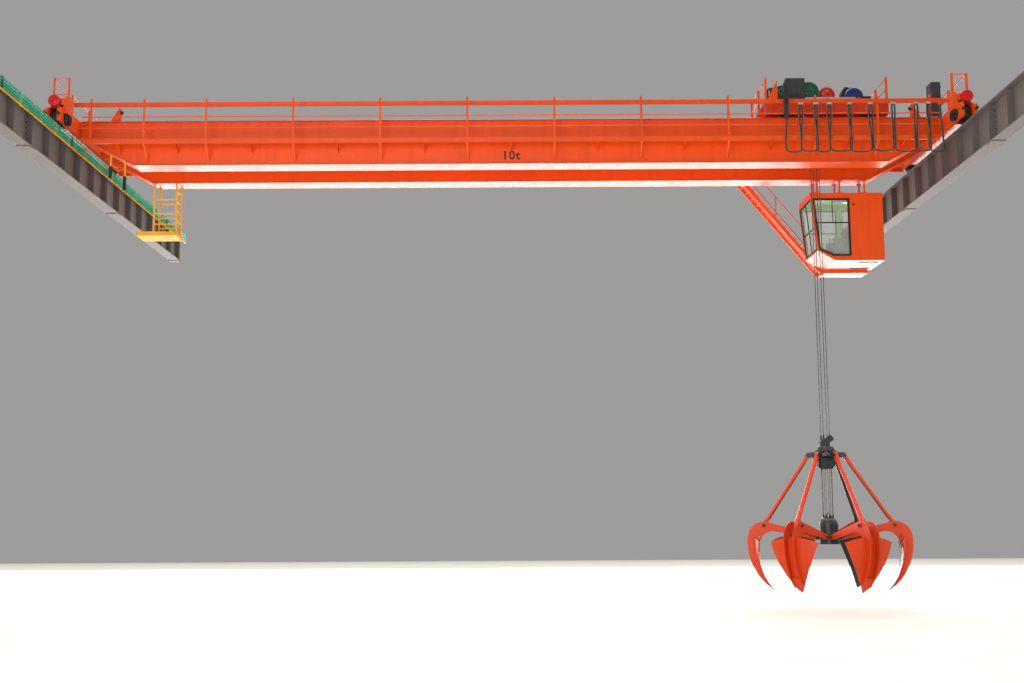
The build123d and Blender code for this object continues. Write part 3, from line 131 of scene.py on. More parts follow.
class CraneColours(bpy.types.PropertyGroup):
    """Colours of the crane's finishes."""

    orange: tint("Crane orange", "Enamel of the bridge and cab", (0.9, 0.09, 0.0012))
    runway: tint("Runway primer", "Primer of the runway beams", (0.15, 0.125, 0.118))
    tine: tint("Tine red", "Enamel of the tines and their rods", (0.6, 0.042, 0.002))
    dark_red: tint("Trolley red", "Enamel of the trolley frame", (0.72, 0.045, 0.002))
    yellow: tint("Safety yellow", "Enamel of the cage and the hangers", (0.86, 0.45, 0.008))
    red: tint("Drive red", "Enamel of the travel motors, brakes and drums", (0.66, 0.006, 0.006))
    green: tint("Gear green", "Enamel of the hoist gear cases", (0.004, 0.09, 0.055))
    blue: tint("Motor blue", "Enamel of the hoist motors", (0.008, 0.035, 0.17))
    grey: tint("Cabinet grey", "Powder coat of the cabinets", (0.035, 0.042, 0.042))
    black: tint("Grab black", "Enamel of the grab head and lower block", (0.012, 0.013, 0.015))
    conductor: tint("Conductor green", "Sheath of the conductor bars", (0.01, 0.5, 0.3))
    lime: tint("Cab lining", "Panels inside the cab", (0.24, 0.68, 0.06))
    floor: tint("Floor", "Plain floor under the crane", (0.7, 0.66, 0.59))


class CraneSizes(bpy.types.PropertyGroup):
    """Sizes of the small parts that dress the crane."""

    bolt: metres("Bolt", "Width of a bolt head over its corners", 0.04)
    rail_tube: metres("Rail tube", "Radius of a handrail tube", 0.017)
    clip_pitch: metres("Clip pitch", "Distance between rail clips", 0.625)
    rope_lay: metres("Rope lay", "Length of one turn of a rope's strands", 0.16)
    strands: IntProperty(name="Strands", description="Number of strands in a rope", default=6)
    cable: metres("Festoon cable", "Diameter of a festoon cable", 0.028)


class CraneStage(bpy.types.PropertyGroup):
    """Floor, lamps and camera."""

    floor_drop: metres("Floor drop", "Height of the rail top over the floor", 13.6)
    lens: FloatProperty(name="Lens", description="Focal length on a 36 mm wide sensor, in millimetres",
                        default=45.0)
    distance: metres("Camera distance", "Distance in front of the front wheels", 34.79)
    eye_drop: metres("Eye drop", "Height of the rail top over the camera", 10.91)
    pitch: FloatProperty(name="Pitch", description="How far the camera looks up", subtype="ANGLE",
                         default=radians(7.85))
    roll: FloatProperty(name="Roll", description="How far the camera leans", subtype="ANGLE", default=-0.0054)
    daylight: FloatProperty(name="Daylight", description="Strength of the soft light all round", default=0.34)
    lamp: FloatProperty(name="Lamp", description="Strength of the soft lamps", default=1.1)


# Shapes in mesh code


def add_box(bm, x, y, z, bevel=0.0, segments=2):
    """Box between three (low, high) pairs, with rounded edges if asked."""
    made = bmesh.ops.create_cube(bm, size=1)["verts"]
    for vert in made:
        vert.co = [low + (high - low) * (value + 0.5) for value, (low, high) in zip(vert.co, (x, y, z))]
    if bevel:
        edges = list({edge for vert in made for edge in vert.link_edges})
        bmesh.ops.bevel(bm, geom=edges, offset=bevel, segments=segments, affect="EDGES", profile=0.7)


def add_prism(bm, outline, origin, across, up, thickness):
    """Plate with a straight-sided outline, centred on the plane of two directions."""
    normal = Vector(across).cross(Vector(up)).normalized() * thickness / 2
    flat = [Vector(origin) + Vector(across) * a + Vector(up) * b for a, b in outline]
    front = [bm.verts.new(point + normal) for point in flat]
    back = [bm.verts.new(point - normal) for point in flat]
    bm.faces.new(front)
    bm.faces.new(reversed(back))
    for index in range(len(flat)):
        after = (index + 1) % len(flat)
        bm.faces.new((front[after], front[index], back[index], back[after]))


def frame_of(direction):
    """Two directions square to a given one."""
    forward = Vector(direction).normalized()
    helper = Z_AXIS if abs(forward.z) < 0.9 else X_AXIS
    side = helper.cross(forward).normalized()
    return side, forward.cross(side)


def turns_of(count, shift=0):
    """Angles of equal shares of a full turn, moved on by part of a share if asked."""
    return [2 * pi * (index + shift) / count for index in range(count)]


def circle_of(bm, centre, side, up, radius, steps):
    """Corners round a circle in the plane of two directions."""
    return [bm.verts.new(centre + (side * cos(t) + up * sin(t)) * radius) for t in turns_of(steps)]


def add_turned(bm, profile, origin, axis, steps=32):
    """Turned shape from (radius, distance along the axis) pairs, closed at its ends."""
    side, up = frame_of(axis)
    forward = Vector(axis).normalized()
    rings = []
    for radius, reach in profile:
        centre = Vector(origin) + forward * reach
        if radius < 1e-6:
            rings.append([bm.verts.new(centre)])
        else:
            rings.append(circle_of(bm, centre, side, up, radius, steps))
    for low, high in zip(rings, rings[1:]):
        for step in range(steps):
            after = (step + 1) % steps
            if len(low) == 1 and len(high) > 1:
                bm.faces.new((low[0], high[step], high[after]))
            elif len(high) == 1 and len(low) > 1:
                bm.faces.new((low[step], high[0], low[after]))
            elif len(low) > 1:
                bm.faces.new((low[step], high[step], high[after], low[after]))
    for ring in (rings[0], rings[-1]):
        if len(ring) > 1:
            bm.faces.new(ring)


def add_cylinder(bm, start, end, radius, steps=24, chamfer=0.0):
    """Round bar between two points, with chamfered ends if asked."""
    run = Vector(end) - Vector(start)
    profile = [(radius, 0), (radius, run.length)]
    if chamfer:
        profile = [(radius - chamfer, 0), (radius, chamfer), (radius, run.length - chamfer),
                   (radius - chamfer, run.length)]
    add_turned(bm, profile, start, run, steps)


def add_pin(bm, centre, axis, half, *form):
    """Round bar along one of the axes, half of it on each side of its centre."""
    ends = [[value + way * half * (index == axis) for index, value in enumerate(centre)] for way in (-1, 1)]
    add_cylinder(bm, *ends, *form)


def add_tube(bm, points, radius, sides=12):
    """Round tube that follows points, closed at its ends."""
    points = [Vector(point) for point in points]
    tangents = []
    for index in range(len(points)):
        before = points[max(index - 1, 0)]
        after = points[min(index + 1, len(points) - 1)]
        tangents.append((after - before).normalized())
    side, _ = frame_of(tangents[0])
    rings = []
    for point, tangent in zip(points, tangents):
        side = (side - tangent * side.dot(tangent)).normalized()
        rings.append(circle_of(bm, point, side, tangent.cross(side), radius, sides))
    for low, high in zip(rings, rings[1:]):
        for step in range(sides):
            after = (step + 1) % sides
            bm.faces.new((low[step], low[after], high[after], high[step]))
    bm.faces.new(reversed(rings[0]))
    bm.faces.new(rings[-1])


def smooth_mesh(mesh, angle=radians(38)):
    """Smooth shading with crisp edges where faces meet sharply."""
    mesh.polygons.foreach_set("use_smooth", [True] * len(mesh.polygons))
    mesh.set_sharp_from_angle(angle=angle)


def place_object(name, data):
    """Object with the given data, linked into the scene."""
    obj = bpy.data.objects.new(name, data)
    bpy.context.scene.collection.objects.link(obj)
    return obj


def make_piece(name, bm, finish, body, stands_for=()):
    """Turn a bmesh into a finished piece that rides on a body."""
    bmesh.ops.recalc_face_normals(bm, faces=bm.faces)
    mesh = bpy.data.meshes.new(name)
    bm.to_mesh(mesh)
    bm.free()
    smooth_mesh(mesh)
    mesh.materials.append(FINISHES[finish])
    return seat(place_object(name, mesh), body, stands_for)


def seat(obj, body, stands_for=()):
    """Make a finished object ride on its body, and hide the imported parts that it stands for."""
    if body:
        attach(obj, body)
    if stands_for:
        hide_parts(*stands_for)
    return obj


def circle_pair(distance, first, second, steps=10):
    """Outline round two circles, the first on the origin and the second along the first direction."""
    lean = atan2((distance ** 2 - (first - second) ** 2) ** 0.5, first - second)
    back = [lean + (2 * pi - 2 * lean) * step / steps for step in range(steps + 1)]
    front = [-lean + 2 * lean * step / steps for step in range(steps + 1)]
    return [(first * cos(t), first * sin(t)) for t in back] + [
        (distance + second * cos(t), second * sin(t)) for t in front]


def add_fins(bm, start, end, low, high, count, thickness):
    """Thin cooling fins along a round body, between two radii."""
    run = Vector(end) - Vector(start)
    side, up = frame_of(run)
    for turn in turns_of(count):
        outwards = side * cos(turn) + up * sin(turn)
        add_prism(bm, [(0, low), (run.length, low), (run.length, high), (0, high)], start,
                  run.normalized(), outwards, thickness)


def add_motor(bm, cowl, start, end, radius):
    """Finned motor between two points, and its fan cowl at the second one."""
    run = Vector(end) - Vector(start)
    length = run.length
    forward = run.normalized()
    core = [(0, 0), (radius * 0.5, 0), (radius * 0.96, 0.015), (radius * 0.96, 0.05), (radius * 0.8, 0.07),
            (radius * 0.8, length * 0.74), (0, length * 0.74)]
    add_turned(bm, core, start, run, 32)
    add_fins(bm, Vector(start) + forward * length * 0.12, Vector(start) + forward * length * 0.7,
             radius * 0.76, radius * 0.97, 28, 0.006)
    hood = [(0, length * 0.7), (radius * 0.98, length * 0.7), (radius, length * 0.72),
            (radius, length * 0.93), (radius * 0.9, length * 0.985), (radius * 0.55, length),
            (radius * 0.5, length * 0.985), (radius * 0.15, length * 0.985), (radius * 0.12, length),
            (0, length)]
    add_turned(cowl, hood, start, run, 32)


def cap_profile(radius, depth):
    """Turned bearing cap, from its seat outwards."""
    return [(radius, 0), (radius, depth * 0.4), (radius * 0.8, depth * 0.5), (radius * 0.7, depth * 0.9),
            (radius * 0.62, depth), (0, depth)]


def ring_of(centre, axis, radius, count):
    """Points round a circle, each with the circle's own direction, for bolts."""
    side, up = frame_of(axis)
    return [(Vector(centre) + (side * cos(t) + up * sin(t)) * radius, axis) for t in turns_of(count, 0.5)]


# Node trees for what repeats or follows a path


def new_tree(name, inputs):
    """Geometry node tree with a geometry input and the named inputs."""
    tree = bpy.data.node_groups.new(name, "GeometryNodeTree")
    tree.interface.new_socket("Geometry", in_out="INPUT", socket_type="NodeSocketGeometry")
    for label, kind in inputs:
        tree.interface.new_socket(label, in_out="INPUT", socket_type=f"NodeSocket{kind}")
    tree.interface.new_socket("Geometry", in_out="OUTPUT", socket_type="NodeSocketGeometry")
    return tree, tree.nodes.new("NodeGroupInput"), tree.nodes.new("NodeGroupOutput")


def run_tree(obj, tree, values):
    """Set a tree's inputs, run it on the object and keep the plain mesh."""
    modifier = obj.modifiers.new(tree.name, "NODES")
    modifier.node_group = tree
    for item in tree.interface.items_tree:
        if item.in_out == "INPUT" and item.name in values:
            modifier[item.identifier] = values[item.name]
    depsgraph = bpy.context.evaluated_depsgraph_get()
    mesh = bpy.data.meshes.new_from_object(obj.evaluated_get(depsgraph), depsgraph=depsgraph)
    obj.modifiers.clear()
    old = obj.data
    obj.data = mesh
    bpy.data.meshes.remove(old)
    mesh.name = obj.name
    smooth_mesh(mesh)


def join(tree, *links):
    """Join sockets of a tree, each link being a node, its output, the next node and its input."""
    for start, output, end, entry in links:
        tree.links.new(start.outputs[output], end.inputs[entry])


def end_tree(tree, given, out, source, output):
    """Make one real mesh of what a node gives, in the tree's finish, as the tree's result."""
    real = tree.nodes.new("GeometryNodeRealizeInstances")
    finish = tree.nodes.new("GeometryNodeSetMaterial")
    join(tree, (source, output, real, "Geometry"), (real, "Geometry", finish, "Geometry"),
         (given, "Material", finish, "Material"), (finish, "Geometry", out, "Geometry"))
    return tree


def repeat_tree():
    """Tree that puts a copy of one shape on each point, turned as the point says."""
    tree = bpy.data.node_groups.get("copies_on_points")
    if tree:
        return tree
    tree, given, out = new_tree("copies_on_points", (("Shape", "Object"), ("Material", "Material")))
    shape = tree.nodes.new("GeometryNodeObjectInfo")
    turn = tree.nodes.new("GeometryNodeInputNamedAttribute")
    turn.data_type = "FLOAT_VECTOR"
    turn.inputs["Name"].default_value = "turn"
    rotation = tree.nodes.new("FunctionNodeEulerToRotation")
    copies = tree.nodes.new("GeometryNodeInstanceOnPoints")
    join(tree, (given, "Shape", shape, "Object"), (turn, "Attribute", rotation, "Euler"),
         (given, "Geometry", copies, "Points"), (shape, "Geometry", copies, "Instance"),
         (rotation, "Rotation", copies, "Rotation"))
    return end_tree(tree, given, out, copies, "Instances")


def repeat(name, shape, places, finish, body, stands_for=()):
    """Copies of a bmesh shape at (place, turn) pairs, as one piece."""
    bmesh.ops.recalc_face_normals(shape, faces=shape.faces)
    pattern_mesh = bpy.data.meshes.new(f"{name}_pattern")
    shape.to_mesh(pattern_mesh)
    shape.free()
    pattern = place_object(f"{name}_pattern", pattern_mesh)
    mesh = bpy.data.meshes.new(name)
    mesh.from_pydata([tuple(place) for place, _ in places], [], [])
    turns = mesh.attributes.new("turn", "FLOAT_VECTOR", "POINT")
    turns.data.foreach_set("vector", [value for _, turn in places for value in turn])
    obj = place_object(name, mesh)
    run_tree(obj, repeat_tree(), {"Shape": pattern, "Material": FINISHES[finish]})
    bpy.data.objects.remove(pattern)
    return seat(obj, body, stands_for)


def bolts(name, places, width, finish, body):
    """Hexagon heads on washers at (point, direction) pairs."""
    bm = bmesh.new()
    add_turned(bm, [(width * 0.62, 0), (width * 0.62, width * 0.1)], (0, 0, 0), Z_AXIS, 12)
    add_turned(bm, [(width / 2, width * 0.1), (width / 2, width * 0.42), (width * 0.4, width * 0.5)],
               (0, 0, 0), Z_AXIS, 6)
    turned = [(point, Vector(way).to_track_quat("Z", "Y").to_euler()) for point, way in places]
    return repeat(name, bm, turned, finish, body)


def tube_tree():
    """Tree that turns a frame of edges into round tubes."""
    tree = bpy.data.node_groups.get("tubes_on_edges")
    if tree:
        return tree
    tree, given, out = new_tree("tubes_on_edges", (("Radius", "Float"), ("Material", "Material")))
    line = tree.nodes.new("GeometryNodeMeshToCurve")
    ring = tree.nodes.new("GeometryNodeCurvePrimitiveCircle")
    ring.inputs["Resolution"].default_value = TUBE_SIDES
    tube = tree.nodes.new("GeometryNodeCurveToMesh")
    tube.inputs["Fill Caps"].default_value = True
    join(tree, (given, "Geometry", line, "Mesh"), (given, "Radius", ring, "Radius"),
         (line, "Curve", tube, "Curve"), (ring, "Curve", tube, "Profile Curve"))
    return end_tree(tree, given, out, tube, "Mesh")


def rails(name, runs, radius, finish, body):
    """Round rails along runs of points, as one piece."""
    points = [tuple(point) for run in runs for point in run]
    edges = []
    start = 0
    for run in runs:
        edges += [(start + index, start + index + 1) for index in range(len(run) - 1)]
        start += len(run)
    mesh = bpy.data.meshes.new(name)
    mesh.from_pydata(points, edges, [])
    obj = place_object(name, mesh)
    run_tree(obj, tube_tree(), {"Radius": radius, "Material": FINISHES[finish]})
    return seat(obj, body)


# Finishes


class Finish:
    """Material in the making, with a short call for each kind of node that the finishes share."""

    def __init__(self, name):
        self.material = bpy.data.materials.new(name)
        self.material.use_nodes = True
        tree = self.material.node_tree
        self.nodes = tree.nodes
        self.link = tree.links.new
        self.shader = tree.nodes["Principled BSDF"]
        self.place = tree.nodes.new("ShaderNodeTexCoord")

    def feed(self, entry, value):
        """Give an input a socket to follow or a plain value, a colour being three numbers."""
        if isinstance(value, bpy.types.NodeSocket):
            self.link(value, entry)
        elif entry.type == "RGBA":
            entry.default_value = (*value, 1)
        else:
            entry.default_value = value

    def put(self, **inputs):
        """Feed inputs of the shader, named with low lines for spaces."""
        for label, value in inputs.items():
            self.feed(self.shader.inputs[label.replace("_", " ")], value)

    def run(self, kind, *values, operation=None):
        """First result of a node that works on values."""
        node = self.nodes.new(kind)
        if operation:
            node.operation = operation
        for entry, value in zip(node.inputs, values):
            self.feed(entry, value)
        return node.outputs[0]

    def noise(self, scale, detail=4.0, stretch=None):
        """Noise on the object's own coordinates, stretched if asked."""
        texture = self.nodes.new("ShaderNodeTexNoise")
        texture.inputs["Scale"].default_value = scale
        texture.inputs["Detail"].default_value = detail
        source = self.place.outputs["Object"]
        if stretch:
            mapping = self.nodes.new("ShaderNodeMapping")
            mapping.inputs["Scale"].default_value = stretch
            self.link(source, mapping.inputs["Vector"])
            source = mapping.outputs["Vector"]
        self.link(source, texture.inputs["Vector"])
        return texture.outputs["Fac"]

    def span(self, value, low, high, to_low, to_high):
        """Map a value from one range to another, held at its ends."""
        return self.run("ShaderNodeMapRange", value, low, high, to_low, to_high)

    def mix(self, factor, first, second):
        """Mix two colours by a factor."""
        mix = self.nodes.new("ShaderNodeMix")
        mix.data_type = "RGBA"
        self.link(factor, mix.inputs["Factor"])
        self.feed(mix.inputs["A"], first)
        self.feed(mix.inputs["B"], second)
        return mix.outputs["Result"]

    def surface(self, mottle, smoothest, roughest, grain, relief, depth, metallic=0.0):
        """Mottled roughness, and a fine grain in relief."""
        bump = self.nodes.new("ShaderNodeBump")
        bump.inputs["Strength"].default_value = relief
        bump.inputs["Distance"].default_value = depth
        self.link(self.noise(grain, 3.0), bump.inputs["Height"])
        self.put(Roughness=self.span(mottle, 0.3, 0.7, smoothest, roughest), Normal=bump.outputs["Normal"],
                 Metallic=metallic)


def darker(colour, share):
    """The same colour, darkened."""
    return tuple(value * share for value in colour)


def painted(name, colour, roughness=0.35, wear=0.5, dust=0.35, grain=90.0):
    """Enamel with cloudy patches, run marks, dust on top and a fine orange-peel surface."""
    finish = Finish(name)
    patches = finish.span(finish.noise(0.7, 5.0), 0.35, 0.7, 0.0, wear)
    runs = finish.span(finish.noise(1.0, 3.0, (7.0, 7.0, 0.45)), 0.5, 0.78, 0.0, wear)
    spots = finish.span(finish.noise(9.0, 6.0), 0.66, 0.74, 0.0, wear * 0.6)
    tone = colour
    for factor, share in ((patches, 0.72), (runs, 0.6), (spots, 0.35)):
        tone = finish.mix(factor, tone, darker(colour, share))
    facing = finish.nodes.new("ShaderNodeNewGeometry").outputs["Normal"]
    split = finish.nodes.new("ShaderNodeSeparateXYZ")
    finish.link(facing, split.inputs[0])
    upward = finish.span(split.outputs["Z"], 0.5, 0.95, 0.0, dust)
    drifts = finish.span(finish.noise(3.0, 6.0), 0.3, 0.65, 0.35, 1.0)
    cover = finish.run("ShaderNodeMath", upward, drifts, operation="MULTIPLY")
    finish.put(Base_Color=finish.mix(cover, tone, DUST))
    finish.surface(finish.noise(14.0, 5.0), roughness - 0.06, roughness + 0.14, grain, 0.12, 0.003)
    return finish


def plain(name, colour, roughness=0.5, metallic=0.0, grain=30.0, relief=0.15, contrast=0.6):
    """Plastic, rubber or bare metal with a mottled tone and a fine grain."""
    finish = Finish(name)
    cloud = finish.span(finish.noise(grain / 6, 6.0), 0.3, 0.7, 0.0, 1.0)
    finish.put(Base_Color=finish.mix(cloud, colour, darker(colour, contrast)))
    finish.surface(finish.noise(grain, 4.0), roughness - 0.08, roughness + 0.12, grain * 3, relief, 0.002,
                   metallic)
    return finish


def worn_rail(name, colour, top, width=0.02):
    """Rolled rail steel, rusty on its web and worn bright along its head."""
    finish = Finish(name)
    split = finish.nodes.new("ShaderNodeSeparateXYZ")
    finish.link(finish.place.outputs["Object"], split.inputs[0])
    height = finish.span(split.outputs["Z"], top - width, top, 0.0, 1.0)
    rust = finish.span(finish.noise(5.0, 7.0), 0.35, 0.65, 0.0, 1.0)
    tone = finish.mix(rust, colour, darker(colour, 0.55))
    finish.put(Base_Color=finish.mix(height, tone, BRIGHT_STEEL),
               Roughness=finish.span(height, 0.0, 1.0, 0.65, 0.28),
               Metallic=finish.span(height, 0.0, 1.0, 0.35, 1.0))
    return finish


def clear_glass(name, colour):
    """Thin safety glass that lets the cab's inside show."""
    finish = Finish(name)
    film = finish.span(finish.noise(4.0, 5.0), 0.4, 0.8, 0.02, 0.09)
    finish.put(Roughness=film, Base_Color=colour, Alpha=0.22)
    return finish


def scoop_enamel_painted_shade(name, colour, inside):
    """Enamel outside a tine, and near-black painted shade on the faces that look at the grab's axis, standing
    for the shadow inside the scoop.
    """
    finish = painted(name, colour, roughness=0.36, wear=0.5, dust=0.25)
    away = finish.nodes.new("ShaderNodeMapping")
    away.inputs["Location"].default_value = (-GRAB_X, -CRANE_Y, 0)
    away.inputs["Scale"].default_value = (1, 1, 0)
    finish.link(finish.place.outputs["Object"], away.inputs["Vector"])
    unit = finish.run("ShaderNodeVectorMath", away.outputs["Vector"], operation="NORMALIZE")
    facing = finish.nodes.new("ShaderNodeVectorMath")
    facing.operation = "DOT_PRODUCT"
    finish.link(finish.place.outputs["Normal"], facing.inputs[0])
    finish.link(unit, facing.inputs[1])
    # Mask of the faces that look at the grab's axis, which get the painted shade
    inner = finish.span(facing.outputs["Value"], -0.3, -0.2, 1.0, 0.0)
    outer = finish.shader.inputs["Base Color"].links[0].from_socket
    finish.put(Base_Color=finish.mix(inner, outer, inside), Specular_IOR_Level=0.3)
    return finish


DUST = (0.3, 0.25, 0.2)
BRIGHT_STEEL = (0.5, 0.48, 0.46)
FINISHES = {}


def make_finishes(colours):
    """All finishes of the crane, by the names that its pieces use."""
    made = {
        "orange": painted("orange_enamel", colours.orange, roughness=0.36, wear=0.35, dust=0.3),
        "orange_walk": painted("orange_tread", colours.orange, roughness=0.66, wear=0.6, dust=0.65,
                               grain=25.0),
        "dark_red": painted("trolley_red_enamel", colours.dark_red, roughness=0.42, dust=0.5),
        "runway": painted("runway_primer", colours.runway, roughness=0.62, wear=0.35, dust=0.3, grain=60.0),
        "yellow": painted("safety_yellow_enamel", colours.yellow, roughness=0.62, wear=0.45),
        "red": painted("drive_red_enamel", colours.red, roughness=0.3, wear=0.4),
        "green": painted("gear_green_enamel", colours.green, roughness=0.3, wear=0.4),
        "blue": painted("motor_blue_enamel", colours.blue, roughness=0.32, wear=0.4),
        "grey": painted("cabinet_powder_coat", colours.grey, roughness=0.55, wear=0.25, grain=200.0),
        "black": painted("grab_black_enamel", colours.black, roughness=0.36, wear=0.6, dust=0.45),
        # The near-black colour is painted shade on the tines' inner faces
        "tine": scoop_enamel_painted_shade("tine_enamel", colours.tine, (0.02, 0.02, 0.022)),
        "drum": painted("drum_red_enamel", colours.red, roughness=0.45, dust=0.3),
        "tow": painted("tow_arm_enamel", darker(colours.grey, 0.6), roughness=0.5, wear=0.3),
        "lime": painted("cab_lining_enamel", colours.lime, roughness=0.5, wear=0.15, dust=0.1),
        "conductor": plain("conductor_sheath", colours.conductor, roughness=0.45, grain=20.0, contrast=0.75),
        "earth_bar": plain("earth_bar_sheath", colours.yellow, roughness=0.45, grain=20.0, contrast=0.75),
        "cast": plain("dark_cast_steel", (0.045, 0.045, 0.047), metallic=0.75, grain=24.0, relief=0.35),
        "tread": plain("bright_tread", (0.42, 0.4, 0.38), roughness=0.28, metallic=1.0, grain=40.0),
        "zinc": plain("zinc_plate", (0.6, 0.6, 0.57), roughness=0.4, metallic=0.45, grain=60.0),
        "rope": plain("greased_wire", (0.16, 0.15, 0.14), roughness=0.42, metallic=0.85, grain=120.0,
                      relief=0.3),
        "rubber": plain("black_rubber", (0.022, 0.022, 0.022), roughness=0.6, grain=90.0, relief=0.25),
        "cable": plain("cable_sheath", (0.035, 0.034, 0.032), roughness=0.38, grain=50.0),
        "cable_pale": plain("pale_cable_sheath", (0.15, 0.145, 0.1), roughness=0.38, grain=50.0),
        "plastic": plain("grey_plastic", (0.2, 0.21, 0.2), grain=80.0),
        "vinyl": plain("black_vinyl", (0.03, 0.03, 0.032), roughness=0.45, grain=120.0, relief=0.4),
        "soot": plain("black_primer", (0.014, 0.013, 0.013), roughness=0.7, grain=12.0, relief=0.3),
        "runway_rail": worn_rail("runway_rail_steel", (0.2, 0.12, 0.08), RAIL_TOP),
        "trolley_rail": worn_rail("trolley_rail_steel", (0.24, 0.13, 0.08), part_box("trolley_rails")[1].z),
        "glass": clear_glass("cab_safety_glass", (0.75, 0.86, 0.82)),
        "letters": plain("stencil_black", (0.02, 0.018, 0.016), roughness=0.55),
        "floor": plain("pale_floor", colours.floor, roughness=0.75, grain=4.0, relief=0.05, contrast=0.93),
        "lamp": plain("lamp_lens", (0.85, 0.83, 0.75), roughness=0.15, grain=60.0),
    }
    FINISHES.update({name: finish.material for name, finish in made.items()})


def dress(finish, *nodes):
    """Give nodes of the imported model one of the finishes."""
    for node in nodes:
        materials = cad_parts[node].data.materials
        materials.clear()
        materials.append(FINISHES[finish])


# Pieces of the crane, each group made by its own operator


class CraneFinishes(bpy.types.Operator):
    """Mix the crane's finishes from its colours"""

    bl_idname = "crane.finishes"
    bl_label = "Finishes"

    def execute(self, context):
        make_finishes(context.scene.crane_colours)
        return {"FINISHED"}


class CraneStageSet(bpy.types.Operator):
    """Floor, soft lamps, daylight and camera"""

    bl_idname = "crane.stage"
    bl_label = "Stage"

    def execute(self, context):
        scene = context.scene
        stage = scene.crane_stage
        floor_z = RAIL_TOP - stage.floor_drop
        bm = bmesh.new()
        reach = 45
        bm.faces.new([bm.verts.new((MID + a * reach, CRANE_Y + b * reach, floor_z))
                      for a, b in ((-1, -1), (1, -1), (1, 1), (-1, 1))])
        floor = make_piece("floor", bm, "floor", None)

        world = bpy.data.worlds.new("daylight")
        world.use_nodes = True
        sky = world.node_tree.nodes["Background"]
        sky.inputs["Color"].default_value = (1.0, 0.985, 0.96, 1)
        sky.inputs["Strength"].default_value = stage.daylight
        scene.world = world
        scene.view_settings.view_transform = "Standard"
        middle = Vector((MID, CRANE_Y, RAIL_TOP))
        lamps = (
            ("front_lamp", (-10, -38, -5), (26, 20), 5600, (0, 0, 0)),
            ("top_lamp", (4, 6, 26), (34, 34), 7600, (0, 0, 0)),
            ("floor_lamp", (0, 0, -7.2), (90, 90), 20000, (0, 0, -13)),
            ("window_band", (0, 33, -10.4), (64, 6), 12500, (0, 0, -10.4)),
        )
        for name, offset, size, power, aim in lamps:
            lamp = bpy.data.lights.new(name, "AREA")
            lamp.shape = "RECTANGLE"
            lamp.size, lamp.size_y = size
            lamp.energy = power * stage.lamp
            obj = place_object(name, lamp)
            obj.location = middle + Vector(offset)
            obj.rotation_euler = (Vector(aim) - Vector(offset)).to_track_quat("-Z", "Y").to_euler()
            obj.visible_camera = False

        camera = bpy.data.cameras.new("camera")
        camera.lens = stage.lens
        camera.sensor_width = 36
        camera.clip_end = 400
        eye = place_object("camera", camera)
        eye.matrix_world = (
            Matrix.Translation((MID, WHEEL_YS[0] - stage.distance, RAIL_TOP - stage.eye_drop))
            @ Matrix.Rotation(pi / 2 + stage.pitch, 4, "X") @ Matrix.Rotation(stage.roll, 4, "Z"))
        scene.camera = eye
        return {"FINISHED"}


def clip_shape(foot_t):
    """Rail clip with its bolt, on the +X side of a rail that runs along Y."""
    edge = 0.06
    bm = bmesh.new()
    add_box(bm, (edge + 0.0015, edge + 0.07), (-0.035, 0.035), (0, foot_t + 0.005), 0.003, 1)
    add_box(bm, (edge - 0.012, edge + 0.06), (-0.03, 0.03), (foot_t + 0.005, foot_t + 0.02), 0.004, 1)
    add_turned(bm, [(0.018, 0), (0.018, 0.012), (0.014, 0.016)], (edge + 0.035, 0, foot_t + 0.02), Z_AXIS, 6)
    return bm


def evenly(low, high, pitch):
    """Centres of as many equal steps as fit between two places."""
    count = int((high - low) / pitch)
    return [(low + high) / 2 + (index - (count - 1) / 2) * pitch for index in range(count)]


class CraneRunway(bpy.types.Operator):
    """Runway beams and rails with their clips and seat bolts"""

    bl_idname = "crane.runway"
    bl_label = "Runway"

    def execute(self, context):
        sizes = context.scene.crane_sizes
        dress("runway", "runway_beams")
        dress("runway_rail", "runway_rails")
        bay = 7.5
        sides = [(x, side) for x in (0, SPAN) for side in (-1, 1)]
        places = [((x, y, RAILS[0].z), (0, 0, turn)) for x in (0, SPAN) for turn in (0, pi)
                  for y in evenly(RAILS[0].y, RAILS[1].y, sizes.clip_pitch)]
        repeat("runway_rail_clips", clip_shape(0.0168), places, "cast", "runway")
        seats = [(x + a, index * bay + b, 0.05) for x in (0, SPAN) for index in (-2, -1, 0, 1)
                 for a in (-0.14, 0.14) for b in (-0.12, 0.12)]
        bolts("seat_bolts", [(place, Z_AXIS) for place in seats], sizes.bolt * 1.15, "cast", "runway")
        plates = bmesh.new()
        for x, side in sides:
            for low, high in ((-bay - 0.18, -bay - 0.01), (-bay + 0.01, -bay + 0.18)):
                add_box(plates, beside(x + side * 0.01, side * 0.012), (low, high), (0.12, 0.92), 0.003, 1)
        make_piece("beam_splice_plates", plates, "runway", "runway")
        joints = [((x + side * 0.022, y, z), (side, 0, 0)) for x, side in sides
                  for y in (-bay - 0.1, -bay + 0.1) for z in (0.2, 0.36, 0.52, 0.68, 0.84)]
        bolts("splice_bolts", joints, sizes.bolt, "cast", "runway")
        return {"FINISHED"}


